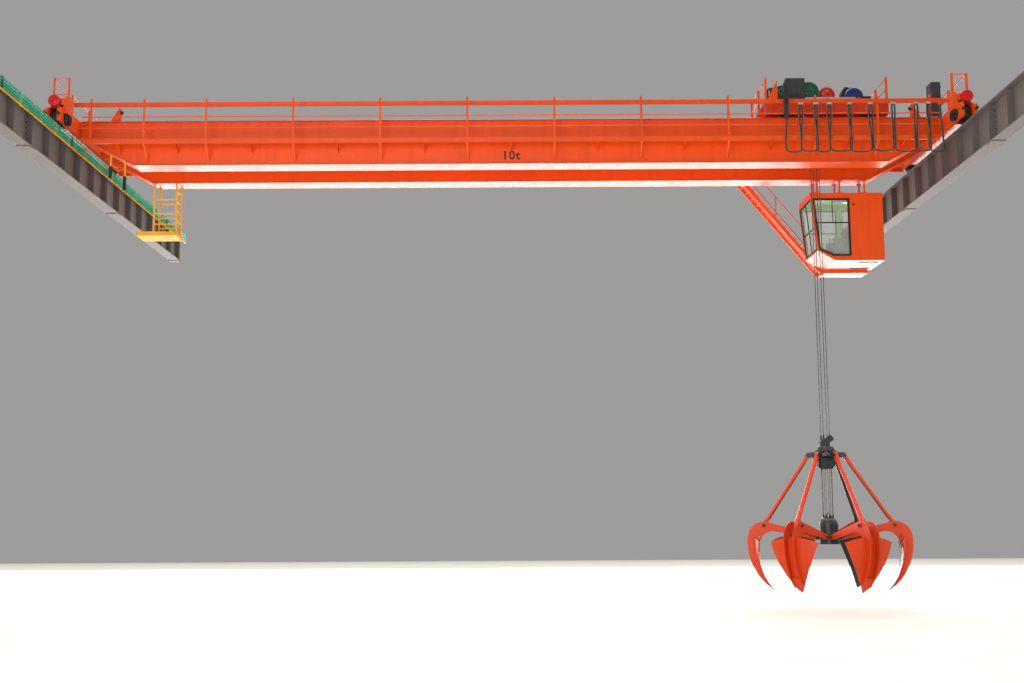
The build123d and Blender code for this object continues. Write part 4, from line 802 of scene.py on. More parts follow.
class CraneConductors(bpy.types.Operator):
    """Conductor bars beside the left runway beam, on their hangers"""

    bl_idname = "crane.conductors"
    bl_label = "Conductor line"

    def execute(self, context):
        low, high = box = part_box("conductor_line")
        half = 0.016
        lip = 0.005
        x = high.x - half
        centre_y = middle_of(box, Y)
        slotted = [(-half, -half), (half, -half), (half, -lip), (0.003, -lip), (0.003, lip), (half, lip),
                   (half, half), (-half, half)]
        pitch = (high.z - low.z - 2 * half) / 4
        levels = [high.z - half - level * pitch for level in range(5)]
        for name, bars, finish, stands_for in (
            ("conductor_bars", levels[:4], "conductor", ("conductor_line",)),
            ("earth_bar", levels[4:], "earth_bar", ()),
        ):
            bm = bmesh.new()
            for z in bars:
                add_prism(bm, slotted, (x, centre_y, z), X_AXIS, Z_AXIS, high.y - low.y)
            make_piece(name, bm, finish, "runway", stands_for)
        hangers = [centre_y + (index - 4) * 2.5 for index in range(9)]
        bracket = bmesh.new()
        add_box(bracket, (0.2, 0.31), (-0.02, 0.02), (high.z - 0.006, high.z), 0.001, 1)
        add_box(bracket, (0.2, 0.31), (-0.02, -0.015), (high.z - 0.04, high.z - 0.006), 0.001, 1)
        add_box(bracket, (0.285, 0.31), (-0.02, 0.02), (low.z, high.z - 0.006), 0.002, 1)
        for z in levels:
            for clasp in ((z + half, z + half + 0.005), (z - half - 0.005, z - half)):
                add_box(bracket, (0.3, 0.344), (-0.024, 0.024), clasp, 0.001, 1)
        repeat("conductor_hangers", bracket, [((0, y, 0), UNTURNED) for y in hangers], "yellow", "runway")
        joint = bmesh.new()
        for z in levels[:4]:
            add_box(joint, (x - half - 0.003, x + half + 0.003), (-0.07, 0.07),
                    (z - half - 0.003, z + half + 0.003), 0.004, 1)
        places = [((0, y + 1.25, 0), UNTURNED) for y in hangers[1:8:2]]
        repeat("conductor_joint_caps", joint, places, "soot", "runway")
        feet = [((0.17, y + side * 0.03, RAILS[0].z - 0.03), -Z_AXIS) for y in hangers for side in (-1, 1)]
        bolts("hanger_bolts", feet, 0.022, "zinc", "runway")
        return {"FINISHED"}


def mirrored(value, side):
    """A distance from the left rail, or the same from the right one."""
    return value if side > 0 else SPAN - value


class CraneBridge(bpy.types.Operator):
    """Girders, end carriages, wheels, trolley rails and stops"""

    bl_idname = "crane.bridge"
    bl_label = "Bridge"

    def execute(self, context):
        sizes = context.scene.crane_sizes
        dress("orange", "front_girder", "rear_girder", "end_carriages", "front_walkway", "rear_walkway")
        dress("trolley_rail", "trolley_rails")
        dress("cast", "front_bridge_wheels", "rear_bridge_wheels")
        places = [((x, y, GIRDER_TOP), (0, 0, turn)) for y in (FRONT_Y, REAR_Y) for turn in (-pi / 2, pi / 2)
                  for x in evenly(0.5, SPAN - 0.5, sizes.clip_pitch)]
        repeat("trolley_rail_clips", clip_shape(0.0132), places, "cast", "bridge")

        gussets = bmesh.new()
        add_prism(gussets, [(0, 0), (-0.46, 0), (0, -0.17)], (0, 0, 0), Y_AXIS, Z_AXIS, 0.014)
        spots = []
        for x in (0, 2.5, 5, 7.5, 9.65, 11.3):
            for side in ((-1, 1) if x else (1,)):
                spots += [((MID + side * x, FRONT_Y - 0.26, WALK_TOP - 0.13), UNTURNED),
                          ((MID + side * x, REAR_Y + 0.26, WALK_TOP - 0.13), (0, 0, pi))]
        repeat("walkway_gussets", gussets, spots, "orange", "bridge")

        plates, fixings = bmesh.new(), []
        low_z, high_z = CARRIAGE[0].z, CARRIAGE[1].z
        for side in (1, -1):
            near = mirrored(0.24, side)
            for y in (FRONT_Y, REAR_Y):
                for low, high in ((-0.42, -0.345), (0.345, 0.42)):
                    middle = y + (low + high) / 2
                    add_box(plates, beside(near, side * 0.02), (y + low, y + high),
                            (low_z + 0.02, high_z - 0.02), 0.004, 1)
                    add_prism(plates, [(0, 0), (0.16, 0), (0, -0.3)], (near, middle, high_z - 0.06),
                              (side, 0, 0), Z_AXIS, 0.014)
                    fixings += [((near + side * 0.02, middle + offset, z), (side, 0, 0))
                                for z in (1.4, 1.49, 1.58, 1.67) for offset in (-0.024, 0.024)]
        make_piece("girder_end_plates", plates, "orange", "bridge")
        bolts("girder_end_bolts", fixings, 0.026, "cast", "bridge")

        caps, cap_bolts = bmesh.new(), []
        for side in (1, -1):
            faces = [(mirrored(-0.24, side), -side, y) for y in WHEEL_YS]
            faces.append((mirrored(0.24, side), side, WHEEL_YS[1]))
            for x, way, y in faces:
                add_box(caps, beside(x, way * 0.014), about(y, 0.15), (WHEEL_Z - 0.13, WHEEL_Z + 0.15),
                        0.006, 1)
                add_turned(caps, cap_profile(0.125, 0.042), (x + way * 0.005, y, WHEEL_Z), (way, 0, 0), 32)
                cap_bolts += ring_of((x + way * 0.02, y, WHEEL_Z), Vector((way, 0, 0)), 0.106, 8)
        make_piece("wheel_bearing_caps", caps, "orange", "bridge")
        bolts("bearing_cap_bolts", cap_bolts, 0.024, "cast", "bridge")

        bumpers, pads = bmesh.new(), bmesh.new()
        for x in (0, SPAN):
            for y, way in ((CARRIAGE[0].y, -1), (CARRIAGE[1].y, 1)):
                for pad_x in about(x, 0.185):
                    add_box(bumpers, about(pad_x, 0.05), beside(y, way * 0.016), (1.42, 1.62), 0.003, 1)
                    add_cylinder(pads, (pad_x, y + way * 0.012, 1.52), (pad_x, y + way * 0.12, 1.52),
                                 0.045, 24, 0.01)
        pad_z = GIRDER_TOP + 0.37
        for x, way in ((1.3, 1), (SPAN - 1.0, -1)):
            for y in (FRONT_Y, REAR_Y):
                for offset in (-0.085, 0.085):
                    add_prism(bumpers, [(0, 0), (-0.3, 0), (-0.02, 0.48), (0, 0.48)],
                              (x, y + offset, GIRDER_TOP), (way, 0, 0), Z_AXIS, 0.02)
                add_box(bumpers, sorted((x - way * 0.01, x + way * 0.012)), about(y, 0.11),
                        (GIRDER_TOP + 0.115, GIRDER_TOP + 0.49), 0.003, 1)
                add_cylinder(pads, (x + way * 0.01, y, pad_z), (x + way * 0.08, y, pad_z), 0.05, 24, 0.012)
        make_piece("end_stops", bumpers, "orange", "bridge")
        make_piece("rubber_bumpers", pads, "rubber", "bridge")

        letters = bpy.data.curves.new("capacity_mark", "FONT")
        letters.body = "10t"
        letters.size = 0.36
        letters.align_x = "CENTER"
        letters.extrude = 0.0015
        letters.offset = 0.006
        letters.space_character = 1.12
        text = place_object("capacity_mark", letters)
        mesh = bpy.data.meshes.new_from_object(text)
        bpy.data.objects.remove(text)
        mesh.transform(Matrix.Translation((MID, FRONT_Y - 0.262, 0.61)) @ Matrix.Rotation(pi / 2, 4, "X"))
        mesh.materials.clear()
        mesh.materials.append(FINISHES["letters"])
        mark = place_object("capacity_mark", mesh)
        seat(mark, "bridge")
        return {"FINISHED"}


def angle_post(height, foot=0.13):
    """Angle-iron post on a bolted foot plate, standing on the origin."""
    bm = bmesh.new()
    angle = [(-0.03, -0.03), (0.03, -0.03), (0.03, -0.024), (-0.024, -0.024), (-0.024, 0.03), (-0.03, 0.03)]
    add_prism(bm, angle, (0, 0, height / 2), X_AXIS, Y_AXIS, height)
    add_box(bm, (-foot / 2, foot / 2), (-0.03, 0.05), (0, 0.01), 0.002, 1)
    for x in (-foot * 0.36, foot * 0.36):
        add_turned(bm, [(0.011, 0), (0.011, 0.009)], (x, 0.02, 0.01), Z_AXIS, 6)
    return bm


class CraneRailings(bpy.types.Operator):
    """Railings on the walkways and on the end carriages, and the walkways' floors"""

    bl_idname = "crane.railings"
    bl_label = "Railings"

    def execute(self, context):
        tube = context.scene.crane_sizes.rail_tube
        xs = [MID + side * x for side in (-1, 1) for x in (1.25, 3.75, 6.25, 8.75, 10.53, 12.05)]
        front, rear = WALKWAY[0].y + 0.03, REAR_WALKWAY[1].y - 0.03
        left, right = WALKWAY[0].x, WALKWAY[1].x
        for name, height, y, turn, stands_for in (("front_posts", 1.2, front, 0, ("girder_handrails",)),
                                                  ("rear_posts", 1.1, rear, pi, ())):
            places = [((x, y, WALK_TOP), (0, 0, turn)) for x in xs]
            repeat(name, angle_post(height), places, "orange", "bridge", stands_for)
        runs = [[(left, y, WALK_TOP + lift), (right, y, WALK_TOP + lift)]
                for y, lifts in ((front, (0.33, 0.66)), (rear, (0.33, 0.66, 1.083))) for lift in lifts]
        rails("walkway_rails", runs, tube, "orange", "bridge")
        low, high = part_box("end_handrails")
        posts, runs = [], []
        half = (high.y - low.y) / 2 - 0.03
        near, far = about(CRANE_Y, half)
        for side in (1, -1):
            outer, inner = mirrored(-0.21, side), mirrored(0.21, side)
            posts += [((outer, CRANE_Y + half * share, low.z), UNTURNED) for share in (-1, -1 / 3, 1 / 3, 1)]
            posts += [((inner, CRANE_Y + half * share, low.z), UNTURNED) for share in (-1, 1)]
            for z in (low.z + 0.5, low.z + 0.966):
                runs.append([(inner, near, z), (outer, near, z), (outer, far, z), (inner, far, z)])
        repeat("end_posts", angle_post(1.0, 0.1), posts, "orange", "bridge", ("end_handrails",))
        rails("end_rails", runs, tube, "orange", "bridge")

        floor = bmesh.new()
        front_edge, rear_edge = WALKWAY[0].y, REAR_WALKWAY[1].y
        for ys in ((front_edge + 0.014, FRONT_Y - 0.345), (REAR_Y + 0.345, rear_edge - 0.014)):
            x = left + 0.01
            while x < right - 0.1:
                end = min(x + 2.48, right - 0.01)
                add_box(floor, (x, end), ys, (WALK_TOP, WALK_TOP + 0.004), 0.0012, 1)
                x += 2.49
        make_piece("walkway_tread_plates", floor, "orange_walk", "bridge")
        bar = bmesh.new()
        lozenge = [(-0.026, 0), (0, 0.006), (0.026, 0), (0, -0.006)]
        add_prism(bar, lozenge, (0, 0, 0.0018), X_AXIS, Y_AXIS, 0.0036)
        spots = []
        for ys in ((front_edge + 0.05, FRONT_Y - 0.37), (REAR_Y + 0.37, rear_edge - 0.05)):
            for row, x in enumerate(evenly(left, right, 0.16)):
                for column, y in enumerate(evenly(*ys, 0.09)):
                    turn = pi / 4 if (row + column) % 2 else -pi / 4
                    spots.append(((x, y, WALK_TOP + 0.0038), (0, 0, turn)))
        repeat("tread_pattern", bar, spots, "orange_walk", "bridge")
        return {"FINISHED"}


class CraneTravelDrives(bpy.types.Operator):
    """Gear cases and motors that drive the front wheels of the bridge"""

    bl_idname = "crane.travel_drives"
    bl_label = "Travel drives"

    def execute(self, context):
        low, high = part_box("travel_drives")
        y = WHEEL_YS[0]
        motor_z = high.z - 0.2
        rise = motor_z - WHEEL_Z
        cases, brackets, motors, cowls, feet = (bmesh.new() for _ in range(5))
        fixings = []
        bracket = [(-0.185, 0.12), (0.185, 0.12), (0.17, rise * 0.7), (0.1, rise + 0.14), (-0.1, rise + 0.14),
                   (-0.17, rise * 0.7)]
        dome = [(0.17, 0), (0.16, 0.03), (0.13, 0.055), (0.06, 0.07), (0, 0.075)]
        for side in (1, -1):
            out = (side, 0, 0)
            near, far = mirrored(0.2405, side), mirrored(0.355, side)
            centre = (near + far) / 2
            for radii, thickness in (((0.185, 0.175), 0.1), ((0.2, 0.19), 0.024)):
                add_prism(cases, circle_pair(0.06, *radii), (centre, y, WHEEL_Z), Z_AXIS, Y_AXIS, thickness)
            add_turned(cases, cap_profile(0.11, 0.03), (far - side * 0.008, y, WHEEL_Z), out, 28)
            fixings += [((centre + side * 0.012, y + b * 0.955, WHEEL_Z + a), out)
                        for a, b in circle_pair(0.06, 0.186, 0.176, 5)]
            add_prism(brackets, bracket, (centre, y, WHEEL_Z), Y_AXIS, Z_AXIS, 0.112)
            fixings += [((far, y + a, WHEEL_Z + b), out)
                        for a, b in ((-0.13, 0.3), (0.13, 0.3), (0, rise + 0.06))]
            x = mirrored(-0.05, side)
            add_motor(motors, cowls, (x, high.y, motor_z), (x, low.y, motor_z), 0.175)
            add_turned(cowls, dome, (x, low.y + 0.07, motor_z), -Y_AXIS, 32)
            add_box(feet, sorted((mirrored(0.1, side), near)), about(y, 0.09),
                    (motor_z - 0.1, motor_z + 0.09), 0.012, 2)
            for foot_x in about(x, 0.1):
                add_box(feet, about(foot_x, 0.02), (low.y + 0.08, high.y - 0.04), (GIRDER_TOP, motor_z - 0.1),
                        0.004, 1)
            add_box(feet, sorted((mirrored(-0.12, side), mirrored(0.12, side))), about(y, 0.1),
                    (GIRDER_TOP, GIRDER_TOP + 0.045), 0.004, 1)
        make_piece("travel_gear_cases", cases, "cast", "bridge", ("travel_drives",))
        make_piece("travel_brackets", brackets, "orange", "bridge")
        make_piece("travel_motors", motors, "red", "bridge")
        make_piece("travel_motor_cowls", cowls, "red", "bridge")
        make_piece("travel_motor_feet", feet, "orange", "bridge")
        bolts("gear_case_bolts", fixings, 0.02, "zinc", "bridge")
        return {"FINISHED"}


def add_cabinet(shell, trim, x, y, z, face):
    """Sheet-metal cabinet with a rain roof, and a door on each side along X or on the near side along Y."""
    low_z, high_z = z
    add_box(shell, x, y, (low_z + 0.03, high_z - 0.03), 0.006, 2)
    add_box(shell, (x[0] - 0.001, x[1] + 0.001), (y[0] - 0.001, y[1] + 0.001), (high_z - 0.035, high_z),
            0.005, 1)
    add_box(trim, (x[0] + 0.02, x[1] - 0.02), (y[0] + 0.02, y[1] - 0.02), (low_z, low_z + 0.03), 0.002, 1)
    across, depth = (x, y) if face == Y else (y, x)
    start, end = across[0] + 0.024, across[1] - 0.024
    hinge, grip = start + 0.012, end - 0.035
    height = high_z - low_z
    for side in ((-1,) if face == Y else (-1, 1)):
        plane = depth[0] if side < 0 else depth[1]
        leaf = sorted((plane - side * 0.002, plane + side * 0.009))
        knob = sorted((plane + side * 0.008, plane + side * 0.026))
        parts = [(shell, (start, end), leaf, (low_z + 0.05, high_z - 0.05), 0.004),
                 (trim, about(grip, 0.012), knob, (low_z + height * 0.48, low_z + height * 0.6), 0.004)]
        parts += [(trim, about(hinge, 0.008), knob, about(level, 0.03), 0.003)
                  for level in (low_z + 0.14, high_z - 0.14)]
        slots = [(low_z + 0.1 + step * 0.022, low_z + 0.108 + step * 0.022) for step in range(5)]
        parts += [(trim, (start + 0.06, end - 0.06), leaf, slot, 0.001) for slot in slots]
        for bm, along, out, up, bevel in parts:
            out = [value + side * (0.0015 if bm is trim else 0) for value in out]
            sides = (along, out) if face == Y else (out, along)
            add_box(bm, *sides, up, bevel, 1)


class CraneCabinets(bpy.types.Operator):
    """Control cabinets on the bridge and on the trolley, and the collector arms"""

    bl_idname = "crane.cabinets"
    bl_label = "Cabinets"

    def execute(self, context):
        for node, face, body, name in (("bridge_cabinet", X, "bridge", "bridge_panel"),
                                       ("trolley_cabinet", Y, "trolley", "trolley_panel")):
            low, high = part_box(node)
            shell, trim = bmesh.new(), bmesh.new()
            add_cabinet(shell, trim, (low.x, high.x), (low.y, high.y), (low.z, high.z), face)
            make_piece(f"{name}_doors", shell, "grey", body, (node,))
            make_piece(f"{name}_fittings", trim, "soot", body)
        tubes, sleeves = bmesh.new(), bmesh.new()
        end_x = 1.85
        taper = (CARRIAGE[0].z - GIRDER_LOW) / (end_x - 0.24)
        drop = 0.09 * taper
        for x, length in ((1.07, 0.7), (1.49, 0.85)):
            top = GIRDER_LOW + (end_x - x) * taper
            middle = top - length / 2
            add_box(tubes, about(x, 0.025), about(FRONT_Y, 0.025), (middle, top + 0.012), 0.004, 1)
            add_prism(tubes, [(-0.09, drop), (0.09, -drop), (0.09, -drop - 0.012), (-0.09, drop - 0.012)],
                      (x, FRONT_Y, top), X_AXIS, Z_AXIS, 0.14)
            add_box(sleeves, about(x, 0.04), about(FRONT_Y, 0.04), (top - length, middle), 0.014, 3)
            for z in (top - length * 0.56, top - length * 0.94):
                add_box(sleeves, about(x, 0.044), about(FRONT_Y, 0.044), about(z, 0.012), 0.004, 1)
        make_piece("collector_arm_tubes", tubes, "yellow", "bridge", ("collector_arms",))
        make_piece("collector_arm_sleeves", sleeves, "soot", "bridge")
        return {"FINISHED"}


def spline_points(name, controls, resolution=12):
    """Points along a NURBS line through a cord's control points."""
    curve = bpy.data.curves.new(name, "CURVE")
    curve.dimensions = "3D"
    curve.resolution_u = resolution
    spline = curve.splines.new("NURBS")
    spline.points.add(len(controls) - 1)
    for point, place in zip(spline.points, controls):
        point.co = (*place, 1)
    spline.order_u = 3
    spline.use_endpoint_u = True
    line = place_object(name, curve)
    mesh = bpy.data.meshes.new_from_object(line)
    points = [vert.co.copy() for vert in mesh.vertices]
    bpy.data.objects.remove(line)
    bpy.data.meshes.remove(mesh)
    return points


class CraneFestoon(bpy.types.Operator):
    """Festoon beam, its cable carriers and the looped cables"""

    bl_idname = "crane.festoon"
    bl_label = "Festoon"

    def execute(self, context):
        dress("orange", "festoon_beam")
        size = context.scene.crane_sizes.cable
        boxes = [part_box(f"festoon_carrier_{index}") for index in range(1, 9)]
        centres = [(low.x + high.x) / 2 for low, high in boxes]
        top = boxes[0][0].z
        loop_depth = 1.4
        cable_y = boxes[0][0].y + 0.035
        points_x = [SPAN - 4.88] + centres + [SPAN - 0.4]
        for index, x in enumerate(points_x[1:], start=1):
            fixed = index == len(points_x) - 1
            body = "bridge" if fixed else f"festoon_carrier_{index}"
            saddle, plates = bmesh.new(), bmesh.new()
            add_box(saddle, about(x, 0.074), (cable_y - 0.035, cable_y + 0.06), (top + 0.004, top + 0.05),
                    0.012, 3)
            add_box(plates, about(x, 0.06), about(cable_y, 0.036), (top - 0.004, top + 0.006), 0.003, 1)
            for side in (-1, 1):
                screw_x, pin_x, pin_z = x + side * 0.045, x + side * 0.04, top + 0.054
                add_turned(plates, [(0.012, 0), (0.012, 0.008), (0.008, 0.011)],
                           (screw_x, cable_y - 0.034, top + 0.03), -Y_AXIS, 6)
                add_cylinder(plates, (pin_x, FESTOON_BEAM[1].y - 0.062, pin_z),
                             (pin_x, FESTOON_BEAM[1].y - 0.03, pin_z), 0.0065, 12, 0.001)
            name = "cable_anchor" if fixed else f"cable_carrier_{index}"
            make_piece(f"{name}_saddle", saddle, "zinc", body, () if fixed else (f"festoon_carrier_{index}",))
            make_piece(f"{name}_clamp", plates, "zinc", body)
        for index, (left, right) in enumerate(zip(points_x, points_x[1:])):
            shift = 0.032 if index % 2 == 0 else -0.032
            near, far = left + 0.016, right - 0.016
            wide = right - left > 0.6
            flare = -0.018 if wide else 0.045
            leg = ((0, 0, 0), (0.05, -0.02, 0.3), (0.4, -0.02, 1), (0.82, flare * 0.55, 1), (1.18, flare, 1),
                   (loop_depth, flare * 0.5, 1))
            for cable, nest in (("a", 0.0), ("b", size * 1.05)):
                controls = [(near + nest - out, cable_y + shift * share, top - min(drop, loop_depth - nest))
                            for drop, out, share in leg]
                controls += [(far - nest + out, cable_y + shift * share, top - min(drop, loop_depth - nest))
                             for drop, out, share in reversed(leg)]
                name = f"festoon_loop_{index + 1}{cable}"
                points = spline_points(name, controls)
                bm = bmesh.new()
                add_tube(bm, points, size / 2, 12)
                stands_for = ("festoon_cables",) if name == "festoon_loop_1a" else ()
                obj = make_piece(name, bm, "cable" if cable == "a" else "cable_pale", None, stands_for)
                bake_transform(obj)
        return {"FINISHED"}


class CraneTrolley(bpy.types.Operator):
    """Trolley frame, axles, fences, tow arm and travel drive"""

    bl_idname = "crane.trolley"
    bl_label = "Trolley"

    def execute(self, context):
        tube = context.scene.crane_sizes.rail_tube
        dress("dark_red", "trolley_frame", "drum_pedestals")
        dress("tow", "tow_arm")
        dress("cast", "trolley_drive_axle", "trolley_idle_axle")
        low, high = TROLLEY
        deck_z = high.z
        axle_xs = [middle_of(box, X) for box in AXLE_BOXES]
        axle_z = middle_of(AXLE_BOXES[0], Z)
        sides = ((low.y, -1), (high.y, 1))
        caps, fixings = bmesh.new(), []
        for x in axle_xs:
            for y, way in sides:
                add_turned(caps, cap_profile(0.1, 0.035), (x, y, axle_z), (0, way, 0), 32)
                fixings += ring_of((x, y + way * 0.013, axle_z), Vector((0, way, 0)), 0.088, 6)
        for x in (low.x + 0.5, (low.x + high.x) / 2, high.x - 0.5, low.x + 1.05, high.x - 1.05):
            for y, way in sides:
                add_box(caps, about(x, 0.006), about(y, 0.001), (low.z, deck_z - 0.05))
        make_piece("axle_bearing_caps", caps, "dark_red", "trolley")
        bolts("axle_cap_bolts", fixings, 0.02, "zinc", "trolley")

        deck = bmesh.new()
        lip = 0.004
        well_x = about(GRAB_X, 0.553)
        well_y = about(CRANE_Y, 0.63)
        for x, y in (((low.x, high.x), (low.y, well_y[0])), ((low.x, high.x), (well_y[1], high.y)),
                     ((low.x, well_x[0]), well_y), ((well_x[1], high.x), well_y)):
            add_box(deck, (x[0] + lip, x[1] - lip), (y[0] + lip, y[1] - lip), (deck_z, deck_z + lip),
                    0.0012, 1)
        make_piece("deck_plates", deck, "dark_red", "trolley")
        kick = bmesh.new()
        add_box(kick, (low.x + 0.72, high.x - 0.95), (low.y + 0.02, low.y + 0.05),
                (deck_z + lip, deck_z + 0.1), 0.003, 1)
        make_piece("deck_kick_plate", kick, "zinc", "trolley")

        posts, runs = [], []
        half = 1.09
        for x in (low.x + 0.03, high.x - 0.03):
            posts += [((x, CRANE_Y + share * half, deck_z), UNTURNED) for share in (-1, 0, 1)]
            runs += [[(x, y, deck_z + lift) for y in about(CRANE_Y, half)] for lift in (0.35, 0.666)]
        fence_post = angle_post(0.7, 0.09)
        repeat("trolley_fence_posts", fence_post, posts, "orange", "trolley", ("trolley_handrails",))
        rails("trolley_fence_rails", runs, tube, "orange", "trolley")

        arm_low, arm_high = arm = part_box("tow_arm")
        brace = bmesh.new()
        foot = (arm_low.x - 0.01, low.y + 0.03, deck_z)
        add_prism(brace, [(-0.3, 0), (0, 0), (0, 0.62)], foot, X_AXIS, Z_AXIS, 0.014)
        add_prism(brace, [(-0.3, 0), (-0.27, 0), (0, 0.56), (0, 0.62)], foot, X_AXIS, Z_AXIS, 0.06)
        add_box(brace, (arm_low.x - 0.012, arm_low.x), (low.y, low.y + 0.09), (deck_z, deck_z + 0.62),
                0.002, 1)
        make_piece("tow_brace", brace, "orange", "trolley")
        clamp = bmesh.new()
        x = middle_of(arm, X)
        for z in (1.995, 2.1):
            add_box(clamp, about(x, 0.05), (arm_high.y - 0.94, -4.652), (z, z + 0.04), 0.006, 1)
        for z in (deck_z - 0.035, deck_z + 0.01):
            add_box(clamp, about(x, 0.066), (-4.83, -4.69), about(z, 0.006), 0.002, 1)
        make_piece("tow_clamps", clamp, "soot", "trolley")

        case, motor, cowl = (bmesh.new() for _ in range(3))
        gear = (axle_xs[0], CRANE_Y, axle_z)
        low_t, high_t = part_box("trolley_travel_drive")
        add_pin(case, gear, Y, 0.09, 0.148, 40, 0.01)
        add_box(case, (low_t.x, gear[X]), about(CRANE_Y, 0.088), (high_t.z - 0.15, high_t.z), 0.01, 2)
        add_pin(case, gear, Y, 0.102, 0.085, 32, 0.006)
        motor_x, motor_z = gear[X] - 0.15, high_t.z - 0.11
        add_motor(motor, cowl, (motor_x, CRANE_Y - 0.085, motor_z), (motor_x, low_t.y, motor_z), 0.108)
        make_piece("trolley_gear_case", case, "grey", "trolley", ("trolley_travel_drive",))
        make_piece("trolley_drive_motor", motor, "grey", "trolley")
        make_piece("trolley_motor_cowl", cowl, "soot", "trolley")

        def deck_box(bm, x, y, z, bevel, segments):
            """Box whose y counts from low.y and whose z counts from the deck."""
            add_box(bm, x, [low.y + value for value in y], [deck_z + value for value in z], bevel, segments)

        switch, strip, red_box = bmesh.new(), bmesh.new(), bmesh.new()
        deck_box(switch, (low.x + 0.1, low.x + 0.32), (0.42, 0.62), (0, 0.5), 0.03, 3)
        drum_x, drum_z, button_x = low.x + 0.34, deck_z + 0.3, high.x - 0.805
        add_cylinder(switch, (drum_x, low.y + 0.66, drum_z), (drum_x, low.y + 0.9, drum_z), 0.16, 32, 0.02)
        deck_box(switch, (high.x - 0.72, high.x - 0.45), (0.16, 0.34), (0, 0.17), 0.012, 2)
        deck_box(strip, (low.x + 0.19, low.x + 0.225), (0.412, 0.424), (0.06, 0.45), 0.003, 1)
        deck_box(red_box, (high.x - 0.86, high.x - 0.75), (0.17, 0.31), (0, 0.12), 0.02, 2)
        add_cylinder(red_box, (button_x, low.y + 0.24, deck_z + 0.1), (button_x, low.y + 0.24, deck_z + 0.15),
                     0.03, 20, 0.006)
        make_piece("limit_switch_boxes", switch, "soot", "trolley")
        make_piece("limit_switch_scale", strip, "lamp", "trolley")
        make_piece("slack_rope_switch", red_box, "red", "trolley")
        return {"FINISHED"}


